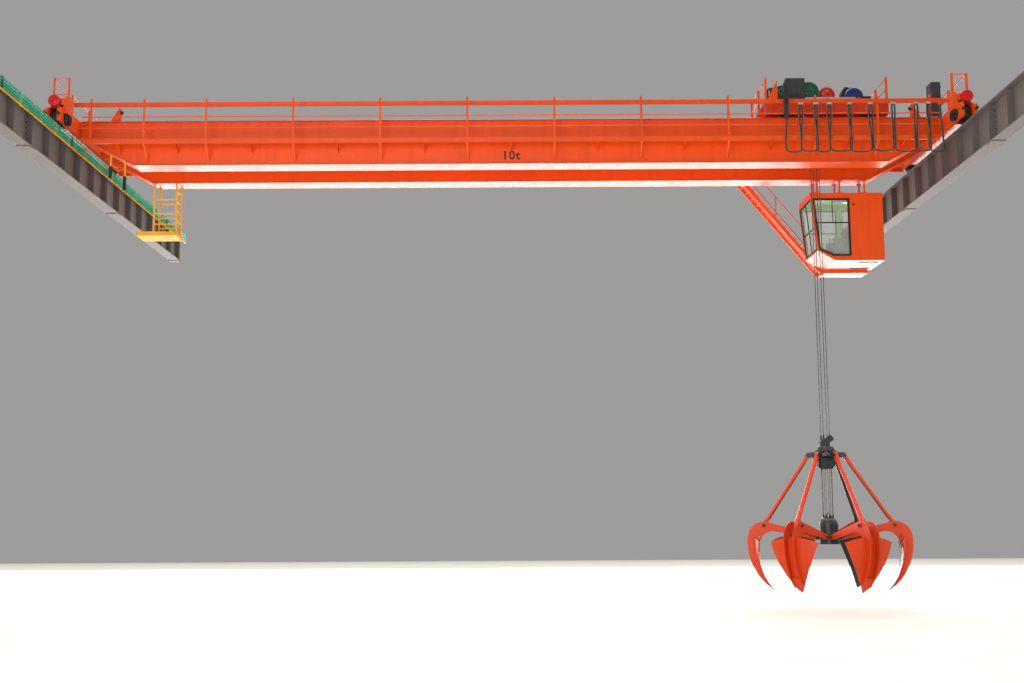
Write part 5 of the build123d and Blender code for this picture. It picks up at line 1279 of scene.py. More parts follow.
class CraneHoists(bpy.types.Operator):
    """Two hoists: drums, gear cases, motors and brakes"""

    bl_idname = "crane.hoists"
    bl_label = "Hoists"

    def execute(self, context):
        hoists = (("holding_drum", 21.55, -1), ("closing_drum", 22.15, 1))
        centres, motor_r, motor_length = 0.85, 0.28, 0.9
        groove_pitch, barrel_r, flange_r, bore_r, half = 0.03, 0.2, 0.238, 0.15, 0.6
        grooves = [0.045 + index * groove_pitch for index in range(37)]
        barrel = [(bore_r, 0), (0.19, 0), (barrel_r, 0.006), (barrel_r, 0.0125), (flange_r, 0.0125),
                  (flange_r, 0.0375), (barrel_r, 0.0375)]
        for place in grooves:
            barrel += [(barrel_r, place), (0.194, place + 0.008), (0.192, place + 0.015),
                       (0.194, place + 0.022)]
        barrel += [(barrel_r, 1.155), (barrel_r, 1.1625), (flange_r, 1.1625), (flange_r, 1.1875),
                   (barrel_r, 1.1875), (barrel_r, 1.194), (0.19, 1.2), (bore_r, 1.2)]
        wrap = [(0.19, 0), (0.206, 0.003), (0.2145, 0.009), (0.217, 0.015), (0.2145, 0.021), (0.206, 0.027),
                (0.19, 0.03)]
        for (node, _, _), box in zip(hoists, DRUM_BOXES):
            x = middle_of(box, X)
            shell, wire, marks = bmesh.new(), bmesh.new(), bmesh.new()
            start = (x, CRANE_Y - half, DRUM_Z)
            add_turned(shell, barrel, start, Y_AXIS, 48)
            add_cylinder(shell, (x, box[0].y, DRUM_Z), (x, box[1].y, DRUM_Z), 0.055, 28, 0.006)
            for place in grooves[3:15] + grooves[23:35]:
                add_turned(wire, [(radius, place + along) for radius, along in wrap], start, Y_AXIS, 40)
            rim = []
            for way in (-1, 1):
                add_turned(marks, [(0.14, 0), (0.14, 0.004), (0.085, 0.004), (0.085, 0)],
                           (x, CRANE_Y + way * half, DRUM_Z), (0, way, 0), 40)
                rim += ring_of((x, CRANE_Y + way * 0.5865, DRUM_Z), Y_AXIS * way, 0.222, 12)
            make_piece(f"{node}_barrel", shell, "drum", node, (node,))
            make_piece(f"{node}_rope", wire, "rope", node)
            make_piece(f"{node}_ring", marks, "yellow", node)
            bolts(f"{node}_bolts", rim, 0.018, "cast", node)

        cases, covers, motors, cowls, brakes, discs, lids, pipes, hoods = (bmesh.new() for _ in range(9))
        case_bolts = []
        for _, drum_x, side in hoists:
            y = CRANE_Y + side * 0.8
            motor_x = drum_x + side * centres
            across = Vector((side, 0, 0))
            for radii, thickness in (((0.285, 0.175), 0.24), ((0.3, 0.19), 0.022)):
                outline = circle_pair(centres, *radii, 14)
                add_prism(cases, outline, (drum_x, y, DRUM_Z), across, Z_AXIS, thickness)
            ends = sorted((drum_x - side * 0.3, motor_x + side * 0.19))
            add_box(cases, ends, about(y, 0.138), about(DRUM_Z, 0.018), 0.004, 1)
            for foot in (drum_x - side * 0.12, motor_x - side * 0.04):
                add_box(cases, about(foot, 0.1), about(y, 0.13), (DECK_TOP, DECK_TOP + 0.022), 0.004, 1)
                for rib in about(foot, 0.07):
                    add_box(cases, about(rib, 0.008), about(y, 0.11), (DECK_TOP + 0.02, DRUM_Z - 0.12),
                            0.002, 1)
            for cap_x, radius in ((drum_x, 0.13), (motor_x, 0.085),
                                  ((drum_x + motor_x) / 2 + side * 0.03, 0.1)):
                for way in (-1, 1):
                    out = Vector((0, way, 0))
                    add_turned(covers, cap_profile(radius, 0.022), (cap_x, y + way * 0.118, DRUM_Z), out, 32)
                    case_bolts += ring_of((cap_x, y + way * 0.127, DRUM_Z), out, radius * 0.88, 8)
            hatch = sorted((drum_x + side * 0.06, drum_x + side * 0.3))
            add_box(covers, hatch, about(y, 0.08), (DRUM_Z + 0.245, DRUM_Z + 0.272), 0.006, 1)
            vent_x = drum_x - side * 0.05
            add_cylinder(covers, (vent_x, y, DRUM_Z + 0.28), (vent_x, y, DRUM_Z + 0.3), 0.025, 16, 0.004)

            near = CRANE_Y + side * (0.8 - 0.38)
            far = near - side * motor_length
            add_motor(motors, cowls, (motor_x, near, DRUM_Z), (motor_x, far, DRUM_Z), motor_r)
            shaft_end = (motor_x, CRANE_Y + side * 0.665, DRUM_Z)
            add_cylinder(cowls, (motor_x, near, DRUM_Z), shaft_end, 0.05, 24, 0.004)
            middle = (near + far) / 2 + side * 0.05
            for way in (-1, 1):
                sole = sorted((motor_x + way * 0.15, motor_x + way * 0.27))
                rib = sorted((motor_x + way * 0.19, motor_x + way * 0.22))
                add_box(motors, sole, about(middle, 0.25), (DECK_TOP, DECK_TOP + 0.024), 0.004, 1)
                add_box(motors, rib, about(middle, 0.22), (DECK_TOP + 0.02, DRUM_Z - 0.12), 0.003, 1)
            if side > 0:
                hood = [(-0.5, -0.24), (-0.22, 0.36), (-0.12, 0.36), (-0.26, -0.24)]
                add_prism(hoods, hood, (motor_x, middle, DRUM_Z), X_AXIS, Z_AXIS, 0.5)
            add_box(lids, (motor_x - 0.19, motor_x + 0.16), (middle - 0.2, middle + 0.16),
                    (DRUM_Z + motor_r * 0.7, DRUM_Z + motor_r + 0.09), 0.03, 3)
            out = motor_x + motor_r + 0.06
            for pipe_y in (middle - 0.05, middle + 0.04):
                route = ((motor_x + 0.1, DRUM_Z + 0.315), (motor_x + 0.22, DRUM_Z + 0.33),
                         (out, DRUM_Z + 0.29), (out, DRUM_Z + 0.1), (out, DECK_TOP + 0.005))
                points = spline_points("motor_conduit", [(x, pipe_y, z) for x, z in route], 8)
                add_tube(pipes, points, 0.024, 12)

            brake_y = CRANE_Y + side * 0.54
            add_pin(discs, (motor_x, brake_y, DRUM_Z), Y, 0.045, 0.148, 40, 0.006)
            lever = [(0.14, -0.35), (0.2, -0.35), (0.205, 0.09), (0.165, 0.09), (0.15, 0)]
            shoe = [(0.15, -0.1), (0.165, -0.1), (0.172, 0.07), (0.152, 0.07)]
            for arm in (-1, 1):
                for outline, face, thickness in ((lever, -0.03, 0.012), (lever, 0.03, 0.012),
                                                 (shoe, 0, 0.075)):
                    add_prism(brakes, [(arm * a, b) for a, b in outline], (motor_x, brake_y + face, DRUM_Z),
                              X_AXIS, Z_AXIS, thickness)
            add_pin(brakes, (motor_x, brake_y, DRUM_Z + 0.075), X, 0.19, 0.011, 12, 0.001)
            add_box(brakes, about(motor_x, 0.2), about(brake_y, 0.05), (DECK_TOP, DECK_TOP + 0.018), 0.003, 1)
            lift_x = motor_x + side * 0.16
            add_cylinder(discs, (lift_x, brake_y, DECK_TOP + 0.02), (lift_x, brake_y, DECK_TOP + 0.2),
                         0.04, 24, 0.006)
        make_piece("gear_cases", cases, "green", "trolley", ("hoist_reducers",))
        make_piece("gear_covers", covers, "green", "trolley")
        bolts("gear_cover_bolts", case_bolts, 0.018, "zinc", "trolley")
        make_piece("motor_frames", motors, "blue", "trolley", ("hoist_motors",))
        make_piece("motor_cowls", cowls, "blue", "trolley")
        make_piece("motor_terminal_boxes", lids, "blue", "trolley")
        make_piece("motor_rain_hood", hoods, "soot", "trolley")
        make_piece("motor_conduits", pipes, "rubber", "trolley")
        make_piece("brake_levers", brakes, "red", "trolley", ("hoist_brakes",))
        make_piece("brake_discs", discs, "cast", "trolley")

        caps, cap_bolts = bmesh.new(), []
        for _, x, side in hoists:
            y = CRANE_Y - side * 0.66
            for way in (-1, 1):
                out = Vector((0, way, 0))
                add_turned(caps, cap_profile(0.09, 0.02), (x, y + way * 0.028, DRUM_Z), out, 32)
                cap_bolts += ring_of((x, y + way * 0.035, DRUM_Z), out, 0.079, 6)
            add_box(caps, about(x, 0.2), about(y, 0.06), (DECK_TOP, DECK_TOP + 0.018), 0.003, 1)
            cap_bolts += [((x + a, y + b, DECK_TOP + 0.018), Z_AXIS)
                          for a in (-0.185, 0.185) for b in (-0.045, 0.045)]
        make_piece("pedestal_caps", caps, "dark_red", "trolley")
        bolts("pedestal_bolts", cap_bolts, 0.016, "zinc", "trolley")
        return {"FINISHED"}


def inset(outline, amount):
    """A convex outline drawn inwards by a distance."""
    points = [Vector(point) for point in outline]
    middle = sum(points, Vector((0, 0))) / len(points)
    lines = []
    for here, there in zip(points, points[1:] + points[:1]):
        way = (there - here).normalized()
        inwards = Vector((-way.y, way.x))
        if inwards.dot(middle - here) < 0:
            inwards = -inwards
        lines.append((here + inwards * amount, way))
    corners = []
    for (a, u), (b, v) in zip([lines[-1]] + lines[:-1], lines):
        gap = b - a
        corners.append(a + u * (gap.x * v.y - gap.y * v.x) / (u.x * v.y - u.y * v.x))
    return corners


def add_frame(bm, outline, origin, across, up, width, thickness, outside=0.0):
    """Frame of flat bars round a convex opening."""
    rim = inset(outline, -outside)
    sight = inset(outline, width - outside)
    for index in range(len(outline)):
        after = (index + 1) % len(outline)
        add_prism(bm, [rim[index], rim[after], sight[after], sight[index]], origin, across, up, thickness)


class CraneCab(bpy.types.Operator):
    """Cab: shell, lining, window frames, glass, seat and consoles"""

    bl_idname = "crane.cab"
    bl_label = "Cab"

    def execute(self, context):
        dress("orange", "cab_shell")
        dress("glass", "cab_glass")
        left, right = 21.84, 24.04
        near, far = -2.1, -0.5
        top = 0.05
        middle_y = (near + far) / 2
        window = [(21.936, -0.13), (22.08, -1.67), (22.504, -1.87), (23.01, -1.87), (23.01, -0.13)]
        bars = bmesh.new()
        for y, way in ((near, -1), (far, 1)):
            centre = y - way * 0.018
            add_frame(bars, window, (0, centre, 0), X_AXIS, Z_AXIS, 0.055, 0.06, 0.022)
            add_box(bars, (22.0, 23.0), about(centre, 0.02), (-0.875, -0.845), 0.004, 1)
            add_box(bars, (22.5, 22.518), about(centre, 0.012), (-0.85, -0.14), 0.003, 1)
        door = [(23.19, CAB_INNER_FLOOR), (23.84, CAB_INNER_FLOOR), (23.84, -0.13), (23.19, -0.13)]
        add_frame(bars, door, (0, far - 0.018, 0), X_AXIS, Z_AXIS, 0.03, 0.06, 0.012)
        lean = 0.18 / 1.78
        slope = Vector((-lean, 0, 1)).normalized()
        foot = Vector((left + (top + 1.67) * lean + 0.025, middle_y, -1.67))
        height = 1.54 / slope.z
        pane = [(-0.74, 0), (0.74, 0), (0.74, height), (-0.74, height)]
        add_frame(bars, pane, foot, Y_AXIS, slope, 0.05, 0.05, 0.02)
        for (a, low), (b, high) in (((-0.015, 0), (0.015, height)), ((-0.72, 0.66), (0.72, 0.69))):
            add_prism(bars, [(a, low), (b, low), (b, high), (a, high)], foot, Y_AXIS, slope, 0.03)
        make_piece("cab_window_frames", bars, "soot", "bridge")

        lining = bmesh.new()
        skin = 0.006
        inner_near, inner_far = near + 0.05, far - 0.05
        inner_right = right - 0.05
        full = (CAB_INNER_FLOOR, -0.118)
        add_box(lining, (inner_right - skin, inner_right), (inner_near, inner_far), (CAB_INNER_FLOOR, 0.0),
                0.001, 1)
        add_box(lining, (21.9, inner_right), (inner_near, inner_far), (-skin, 0.0), 0.001, 1)
        for y, way in ((inner_near, 1), (inner_far, -1)):
            panels = [((21.91, inner_right), (-0.118, 0.0)),
                      ((22.6, 23.19 if way < 0 else inner_right), (CAB_INNER_FLOOR, -1.882)),
                      ((23.022, 23.178 if way < 0 else inner_right), full)]
            if way < 0:
                panels.append(((23.852, inner_right), full))
            for x, z in panels:
                add_box(lining, x, beside(y, way * skin), z, 0.001, 1)
        make_piece("cab_lining", lining, "lime", "bridge")
        mat = bmesh.new()
        add_box(mat, (22.58, inner_right - 0.01), (inner_near + 0.01, inner_far - 0.01),
                (CAB_INNER_FLOOR, CAB_INNER_FLOOR + 0.008), 0.002, 1)
        make_piece("cab_floor_mat", mat, "vinyl", "bridge")

        rim = bmesh.new()
        hanger_bolts = []
        add_box(rim, (left - 0.012, right + 0.012), (near - 0.012, far + 0.012), (top - 0.03, top + 0.012),
                0.006, 2)
        for share in (0.12, 0.5, 0.92):
            x = left + share * (SPAN - 1.85 - left)
            for y in HANGER_YS:
                for z in ((GIRDER_LOW - 0.014, GIRDER_LOW), (top + 0.01, top + 0.026)):
                    add_box(rim, about(x, 0.08), about(y, 0.06), z, 0.003, 1)
            hanger_bolts += [((x + a, y + b, GIRDER_LOW - 0.014), -Z_AXIS) for y in HANGER_YS
                             for a in (-0.055, 0.055) for b in (-0.035, 0.035)]
        make_piece("cab_roof_rim", rim, "orange", "bridge")
        bolts("cab_hanger_bolts", hanger_bolts, 0.024, "cast", "bridge")

        small = bmesh.new()
        horn = [(0.035, 0), (0.035, 0.006), (0.022, 0.01), (0.02, 0.03), (0, 0.03)]
        add_turned(small, horn, (23.15, near, -0.3), -Y_AXIS, 24)
        for y in (near + 0.3, far - 0.3):
            add_box(small, (23.3, 23.9), about(y, 0.04), (CAB_FLOOR - 0.012, CAB_FLOOR), 0.004, 1)
        make_piece("cab_horn", small, "soot", "bridge")
        lamp, lens = bmesh.new(), bmesh.new()
        add_box(lamp, (22.75, 23.35), about(middle_y, 0.09), (-0.05, -0.006), 0.01, 2)
        add_box(lens, (22.78, 23.32), about(middle_y, 0.07), (-0.056, -0.048), 0.006, 2)
        make_piece("cab_lamp_case", lamp, "plastic", "bridge")
        make_piece("cab_lamp_lens", lens, "lamp", "bridge")

        seat_x, seat_z = 22.94, -1.5
        half = 0.25
        for name, x, z, thin, stands_for in (
            ("seat_cushion", about(seat_x, half), (seat_z - 0.09, seat_z), Z, ("cab_console",)),
            ("seat_back", (seat_x + 0.16, seat_x + half), (seat_z, seat_z + 0.57), X, ()),
        ):
            bm = bmesh.new()
            add_box(bm, x, about(middle_y, half), z, 0.032, 3)
            centre = Vector(((x[0] + x[1]) / 2, middle_y, (z[0] + z[1]) / 2))
            bmesh.ops.subdivide_edges(bm, edges=bm.edges, cuts=3, use_grid_fill=True)
            for vert in bm.verts:
                place = vert.co - centre
                along = [abs(place[axis]) / half for axis in (X, Y, Z) if axis != thin]
                crown = max(0.0, 1 - along[0] ** 2) * max(0.0, 1 - along[1] ** 2)
                vert.co[thin] -= (1 if place[thin] > 0 else -1) * 0.012 * (1 - crown)
            make_piece(name, bm, "vinyl", "bridge", stands_for)
        stand, desks, levers = bmesh.new(), bmesh.new(), bmesh.new()
        column = [(0.16, 0), (0.16, 0.012), (0.06, 0.03), (0.05, 0.3), (0.09, 0.385), (0, 0.385)]
        lever = [(0.035, 0), (0.03, 0.02), (0.01, 0.03), (0.009, 0.11), (0.02, 0.125), (0.024, 0.15),
                 (0.015, 0.17), (0, 0.172)]
        add_turned(stand, column, (seat_x, middle_y, CAB_INNER_FLOOR), Z_AXIS, 28)
        for side in (-1, 1):
            y = sorted((middle_y + side * 0.3, middle_y + side * 0.55))
            add_box(desks, (22.6, 23.1), y, (CAB_INNER_FLOOR, -1.29), 0.02, 3)
            add_box(desks, (22.58, 23.12), (y[0] - 0.008, y[1] + 0.008), (-1.295, -1.262), 0.012, 2)
            centre = (y[0] + y[1]) / 2
            for x in (22.7, 22.84):
                add_turned(levers, lever, (x, centre, -1.262), Z_AXIS, 20)
            for x in (22.94, 22.99, 23.04):
                for button_y in (centre - 0.05, centre, centre + 0.05):
                    add_cylinder(levers, (x, button_y, -1.264), (x, button_y, -1.252), 0.011, 14, 0.002)
            rest = sorted((middle_y + side * 0.255, middle_y + side * 0.292))
            add_box(stand, about(seat_x, 0.14), rest, (-1.36, -1.32), 0.012, 2)
        make_piece("seat_stand", stand, "soot", "bridge")
        make_piece("cab_desks", desks, "plastic", "bridge")
        make_piece("cab_levers", levers, "soot", "bridge")
        return {"FINISHED"}


class CraneAccess(bpy.types.Operator):
    """Cab stair with its treads, and the maintenance cage"""

    bl_idname = "crane.access"
    bl_label = "Access"

    def execute(self, context):
        dress("orange", "cab_stair")
        dress("yellow", "maintenance_cage")
        steps, go, foot_x, stair_y = 16, 0.16, 22.56, -0.1
        rise = (WALK_TOP - CAB_FLOOR) / steps
        head_x = foot_x - steps * go
        tread = bmesh.new()
        add_box(tread, (-0.088, 0.088), (-0.3, 0.3), (0.012, 0.017), 0.001, 1)
        add_box(tread, (0.078, 0.092), (-0.3, 0.3), (-0.02, 0.019), 0.002, 1)
        for index in range(9):
            add_box(tread, (-0.07, 0.06), (-0.262 + index * 0.0655, -0.25 + index * 0.0655), (0.0165, 0.0195))
        places = [((foot_x - (index + 0.5) * go, stair_y, CAB_FLOOR + index * rise + rise / 3), UNTURNED)
                  for index in range(steps)]
        repeat("stair_treads", tread, places, "tread", "bridge")
        plates = bmesh.new()
        add_box(plates, (foot_x, 23.94), (-0.49, 0.21), (CAB_FLOOR, CAB_FLOOR + 0.005), 0.001, 1)
        add_box(plates, (19.21, head_x), (-1.01, 0.2), (WALK_TOP, WALK_TOP + 0.005), 0.001, 1)
        make_piece("landing_plates", plates, "orange_walk", "bridge")
        soffit = bmesh.new()
        sheet = 0.008
        (a, low), (b, high) = (foot_x - 0.1, CAB_FLOOR + 0.02), (head_x + 0.05, WALK_TOP - 0.1)
        add_prism(soffit, [(a, low), (b, high), (b, high - sheet), (a, low - sheet)], (0, stair_y, 0),
                  X_AXIS, Z_AXIS, 0.58)
        make_piece("stair_soffit", soffit, "orange_walk", "bridge")
        pads, fixings = bmesh.new(), []
        low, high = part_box("maintenance_cage")
        for x in (1.895, 2.565):
            for y in HANGER_YS:
                add_box(pads, about(x, 0.06), about(y, 0.05), (GIRDER_LOW - 0.012, GIRDER_LOW), 0.002, 1)
                fixings += [((x + a, y, GIRDER_LOW - 0.012), -Z_AXIS) for a in (-0.042, 0.042)]
        floor_z = -1.13
        kick = (floor_z, floor_z + 0.08)
        add_box(pads, (low.x + 0.01, high.x - 0.01), (low.y + 0.01, high.y - 0.01),
                (floor_z, floor_z + 0.005), 0.001, 1)
        for x in (low.x + 0.008, high.x - 0.008):
            add_box(pads, about(x, 0.004), (low.y, high.y), kick, 0.001, 1)
        for y in (low.y + 0.004, high.y - 0.004):
            add_box(pads, (low.x, high.x), about(y, 0.004), kick, 0.001, 1)
        make_piece("cage_floor_and_pads", pads, "yellow", "bridge")
        bolts("cage_bolts", fixings, 0.022, "cast", "bridge")
        return {"FINISHED"}


def grab_place(radial, z, tangent=0.0, turn=0.0):
    """Place round the grab's axis, by distance out, level, sideways offset and turn."""
    return Vector((GRAB_X + radial * cos(turn) - tangent * sin(turn),
                   CRANE_Y + radial * sin(turn) + tangent * cos(turn), z))


def outwards(turn):
    """Level direction away from the grab's axis."""
    return Vector((cos(turn), sin(turn), 0))


class CraneGrab(bpy.types.Operator):
    """Orange-peel grab: head, rods, tines and lower block"""

    bl_idname = "crane.grab"
    bl_label = "Grab"

    def execute(self, context):
        dress("black", "lower_block")
        turns = [radians(-12) + index * pi / 3 for index in range(6)]
        brim_z, head_low, head_top = -7.93, -8.34, -7.68
        pivot_z, shoulder_z = -10.28, -9.94
        block_top, skirt_top, block_low = -9.715, -10.19, -10.48
        head, yoke, wheels, sockets = (bmesh.new() for _ in range(4))
        axis = (GRAB_X, CRANE_Y, 0)
        hub = [(0, -0.09), (0.2, -0.09), (0.25, -0.06), (0.385, -0.05), (0.4, -0.035), (0.4, 0.035),
               (0.385, 0.05), (0.27, 0.06), (0.24, 0.12)]
        crown = [(0.23, head_top - 0.02), (0.21, head_top), (0, head_top)]
        add_turned(head, [(radius, brim_z + z) for radius, z in hub] + crown, axis, Z_AXIS, 36)
        ear = [(0.18, -0.075), (0.5, -0.075), (0.55, -0.055), (0.575, 0), (0.55, 0.055), (0.5, 0.075),
               (0.36, 0.085), (0.2, 0.17)]
        rib = [(0.2, head_top - 0.02), (0.2, brim_z + 0.05), (0.38, brim_z + 0.05)]
        for turn in turns:
            for side in (-1, 1):
                add_prism(head, [(a, brim_z + b) for a, b in ear], grab_place(0, 0, side * 0.062, turn),
                          outwards(turn), Z_AXIS, 0.03)
            ends = [grab_place(0.5, brim_z, side * 0.092, turn) for side in (-1, 1)]
            add_cylinder(head, *ends, 0.034, 20, 0.005)
            between = turn + pi / 6
            add_prism(head, rib, grab_place(0, 0, 0, between), outwards(between), Z_AXIS, 0.018)
        for offset, half in ((-0.16, 0.2), (-0.055, 0.25), (0.055, 0.25), (0.16, 0.2)):
            cheek = [(-half, brim_z - 0.05), (half, brim_z - 0.05), (half, head_low + 0.12),
                     (half * 0.6, head_low), (-half * 0.6, head_low), (-half, head_low + 0.12)]
            add_prism(head, cheek, (GRAB_X, CRANE_Y + offset, 0), X_AXIS, Z_AXIS, 0.018)
        sheave_z = brim_z - 0.22
        for x, z in ((0.12, sheave_z), (0.19, head_low + 0.14)):
            for pin_x in about(GRAB_X, x):
                add_pin(head, (pin_x, CRANE_Y, z), Y, 0.178, 0.022, 16, 0.004)
        make_piece("grab_head_casting", head, "black", "grab_head", ("grab_head",))
        tilt = radians(33)
        along = Vector((cos(tilt), 0, sin(tilt)))
        upright = Vector((-sin(tilt), 0, cos(tilt)))
        centre = Vector((GRAB_X, CRANE_Y, head_top + 0.15))
        beam = [(-0.21, -0.05), (-0.17, -0.09), (0.18, -0.09), (0.215, -0.05), (0.215, 0.05), (0.18, 0.085),
                (-0.17, 0.085), (-0.21, 0.045)]
        for offset, thickness in ((-0.13, 0.05), (0, 0.1), (0.13, 0.05)):
            add_prism(yoke, beam, centre + Y_AXIS * offset, along, upright, thickness)
        for reach in (-0.12, 0, 0.14):
            point = centre + along * reach
            add_cylinder(yoke, point - Y_AXIS * 0.172, point + Y_AXIS * 0.172, 0.028, 20, 0.004)
        for y in about(CRANE_Y, 0.1):
            add_box(yoke, about(GRAB_X, 0.1), about(y, 0.014), (head_top - 0.01, head_top + 0.18), 0.005, 1)
        make_piece("equaliser_yoke", yoke, "black", "grab_head")
        sheave = [(0, 0), (0.05, 0), (0.05, 0.01), (0.1, 0.012), (0.135, 0), (0.135, 0.008), (0.112, 0.024),
                  (0.135, 0.04), (0.135, 0.048), (0.1, 0.036), (0.05, 0.038), (0.05, 0.048), (0, 0.048)]
        for x in (-0.12, 0.12):
            for y in (-0.105, 0, 0.105):
                add_turned(wheels, sheave, (GRAB_X + x, CRANE_Y + y - 0.024, sheave_z), Y_AXIS, 28)
        for turn in turns_of(FALLS):
            place = grab_place(FALLS_RADIUS, head_low, 0, turn)
            add_cylinder(wheels, place, place + Z_AXIS * 0.07, 0.02, 12, 0.004)
        make_piece("head_sheaves", wheels, "cast", "grab_head")
        socket = [(0.013, 0), (0.02, 0.004), (0.024, 0.03), (0.03, 0.09), (0.03, 0.14), (0, 0.14)]
        for x in about(GRAB_X, ROPE_X):
            for y in about(CRANE_Y, ROPE_Y):
                add_turned(sockets, socket, (x, y, -7.345), -Z_AXIS, 20)
        make_piece("rope_sockets", sockets, "cast", "grab_head")

        shackle, ribs = bmesh.new(), bmesh.new()
        bow = [(-0.045, -0.02), (-0.05, 0.05), (-0.035, 0.1), (0, 0.125), (0.035, 0.1), (0.05, 0.05),
               (0.045, -0.02)]
        bow_points = spline_points("shackle_bow", [(GRAB_X + a, CRANE_Y, block_top + z) for a, z in bow], 4)
        add_tube(shackle, bow_points, 0.013, 12)
        for side in (-1, 1):
            ends = [(GRAB_X + side * reach, CRANE_Y, block_top + 0.005) for reach in (0.07, 0.02)]
            add_cylinder(shackle, *ends, 0.02, 16, 0.003)
        make_piece("block_shackle", shackle, "cast", "lower_block")
        fin = [(0.07, block_top + 0.004), (0.14, block_top - 0.008), (0.215, block_top - 0.07),
               (0.262, block_top - 0.16), (0.274, block_top - 0.22), (0.274, skirt_top + 0.02),
               (0.2, skirt_top + 0.02)]
        for index in range(12):
            turn = pi / 12 + index * pi / 6
            add_prism(ribs, fin, grab_place(0, 0, 0, turn), outwards(turn), Z_AXIS, 0.016)
        for level, out in ((0.12, 0.232), (0.24, 0.262), (0.36, 0.262)):
            z = block_top - level
            add_turned(ribs, [(0.15, z - 0.008), (out + 0.008, z - 0.008), (out + 0.01, z),
                              (out + 0.008, z + 0.008), (0.15, z + 0.008)], axis, Z_AXIS, 36)
        for low, high in ((skirt_top - 0.03, skirt_top + 0.004), (block_low - 0.002, block_low + 0.034)):
            add_turned(ribs, [(0.28, low), (0.306, low), (0.31, low + 0.006), (0.31, high - 0.006),
                              (0.306, high), (0.28, high)], axis, Z_AXIS, 36)
        for turn in turns_of(FALLS):
            place = grab_place(FALLS_RADIUS, block_top - 0.05, 0, turn)
            add_cylinder(ribs, place, place + Z_AXIS * 0.11, 0.019, 12, 0.004)
        make_piece("block_ribs", ribs, "black", "lower_block")
        inner, bend, tip = Vector((1.42, -10.12)), Vector((1.93, -10.03)), Vector((2.01, -10.6))
        curve = [inner * (1 - t) ** 2 + bend * 2 * t * (1 - t) + tip * t * t
                 for t in (0, 0.2, 0.4, 0.6, 0.8, 1)]
        web = [(point.x, point.y) for point in curve] + [(2.03, -10.55), (1.95, -10.0), (1.6, -10.06)]
        for index, turn in enumerate(turns, start=1):
            square = Vector((-sin(turn), cos(turn), 0))
            webs = bmesh.new()
            for side in (-1, 1):
                add_prism(webs, web, grab_place(0, 0, side * 0.141, turn), outwards(turn), Z_AXIS, 0.02)
            make_piece(f"tine_webs_{index}", webs, "tine", f"tine_{index}")
            dress("tine", f"tine_{index}", f"rod_{index}")
            heads = [(grab_place(1.83, shoulder_z, side * 0.174, turn), square * side) for side in (-1, 1)]
            bolts(f"shoulder_bolts_{index}", heads, 0.075, "cast", f"tine_{index}")
            pins = [(grab_place(0.38, pivot_z, side * 0.156, turn), square * side) for side in (-1, 1)]
            bolts(f"pivot_bolts_{index}", pins, 0.055, "cast", "lower_block")
        return {"FINISHED"}


def add_rope(bm, x, y, z, radius, lay, strands, hand):
    """Upright rope whose strands twist about it, one way or the other, between two levels."""
    low, high = z
    length = high - low
    rings = max(2, int(length / lay * 8))
    corners = strands * 2
    before = None
    for index in range(rings + 1):
        share = index / rings
        twist = hand * 2 * pi * share * length / lay
        ring = []
        for corner in range(corners):
            turn = 2 * pi * corner / corners + twist
            out = radius * (1.0 if corner % 2 else 0.76)
            ring.append(bm.verts.new((x + out * cos(turn), y + out * sin(turn), low + length * share)))
        if before:
            for corner in range(corners):
                after = (corner + 1) % corners
                bm.faces.new((before[corner], before[after], ring[after], ring[corner]))
        else:
            bm.faces.new(ring)
        before = ring
    bm.faces.new(before)


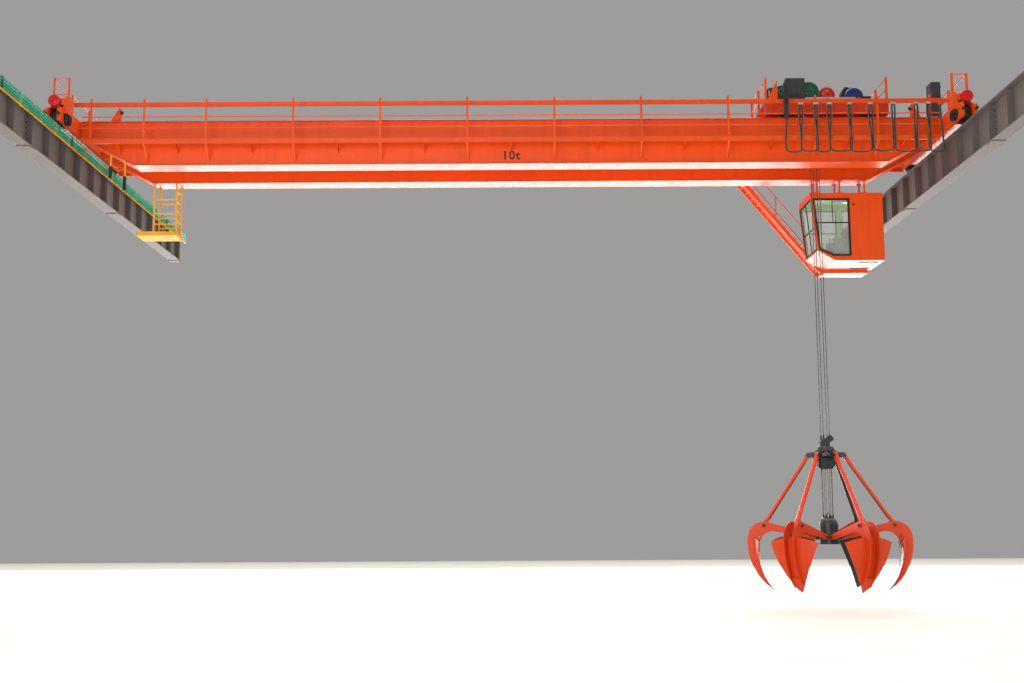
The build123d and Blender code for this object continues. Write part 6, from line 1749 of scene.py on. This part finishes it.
class CraneRopes(bpy.types.Operator):
    """Hoist ropes from the drums to the grab, and the closing falls inside it"""

    bl_idname = "crane.ropes"
    bl_label = "Ropes"

    def execute(self, context):
        sizes = context.scene.crane_sizes
        low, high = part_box("hoist_ropes")
        bm = bmesh.new()
        for x in about(GRAB_X, ROPE_X):
            for y, hand in zip(about(CRANE_Y, ROPE_Y), (1, -1)):
                add_rope(bm, x, y, (low.z, high.z), 0.012, sizes.rope_lay, sizes.strands, hand)
        ropes = make_piece("hoist_rope_runs", bm, "rope", None, ("hoist_ropes",))
        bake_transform(ropes)
        low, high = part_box("closing_falls")
        bm = bmesh.new()
        for index, turn in enumerate(turns_of(FALLS)):
            x, y = GRAB_X + FALLS_RADIUS * cos(turn), CRANE_Y + FALLS_RADIUS * sin(turn)
            hand = 1 if index % 2 else -1
            add_rope(bm, x, y, (low.z, high.z), 0.009, sizes.rope_lay * 0.75, sizes.strands, hand)
        falls = make_piece("closing_fall_runs", bm, "rope", None, ("closing_falls",))
        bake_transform(falls)
        return {"FINISHED"}


OPERATORS = (CraneFinishes, CraneStageSet, CraneRunway, CraneConductors, CraneBridge, CraneRailings,
             CraneTravelDrives, CraneCabinets, CraneFestoon, CraneTrolley, CraneHoists, CraneCab, CraneAccess,
             CraneGrab, CraneRopes)


class CranePanel(bpy.types.Panel):
    """Crane's pieces, in the order that they are made"""

    bl_idname = "VIEW3D_PT_crane"
    bl_label = "Crane"
    bl_space_type = "VIEW_3D"
    bl_region_type = "UI"
    bl_category = "Crane"

    def draw(self, context):
        for operator in OPERATORS:
            self.layout.operator(operator.bl_idname)
        for group in (context.scene.crane_colours, context.scene.crane_sizes, context.scene.crane_stage):
            box = self.layout.box()
            for name in group.__annotations__:
                box.prop(group, name)


CLASSES = (CraneColours, CraneSizes, CraneStage, *OPERATORS, CranePanel)


def register():
    for kind in CLASSES:
        bpy.utils.register_class(kind)
    bpy.types.Scene.crane_colours = PointerProperty(type=CraneColours)
    bpy.types.Scene.crane_sizes = PointerProperty(type=CraneSizes)
    bpy.types.Scene.crane_stage = PointerProperty(type=CraneStage)


def unregister():
    del bpy.types.Scene.crane_colours, bpy.types.Scene.crane_sizes, bpy.types.Scene.crane_stage
    for kind in reversed(CLASSES):
        bpy.utils.unregister_class(kind)


def main():
    """Make the crane's pieces in order."""
    register()
    for operator in OPERATORS:
        group, call = operator.bl_idname.split(".")
        getattr(getattr(bpy.ops, group), call)()


if __name__ == "__main__":
    main()
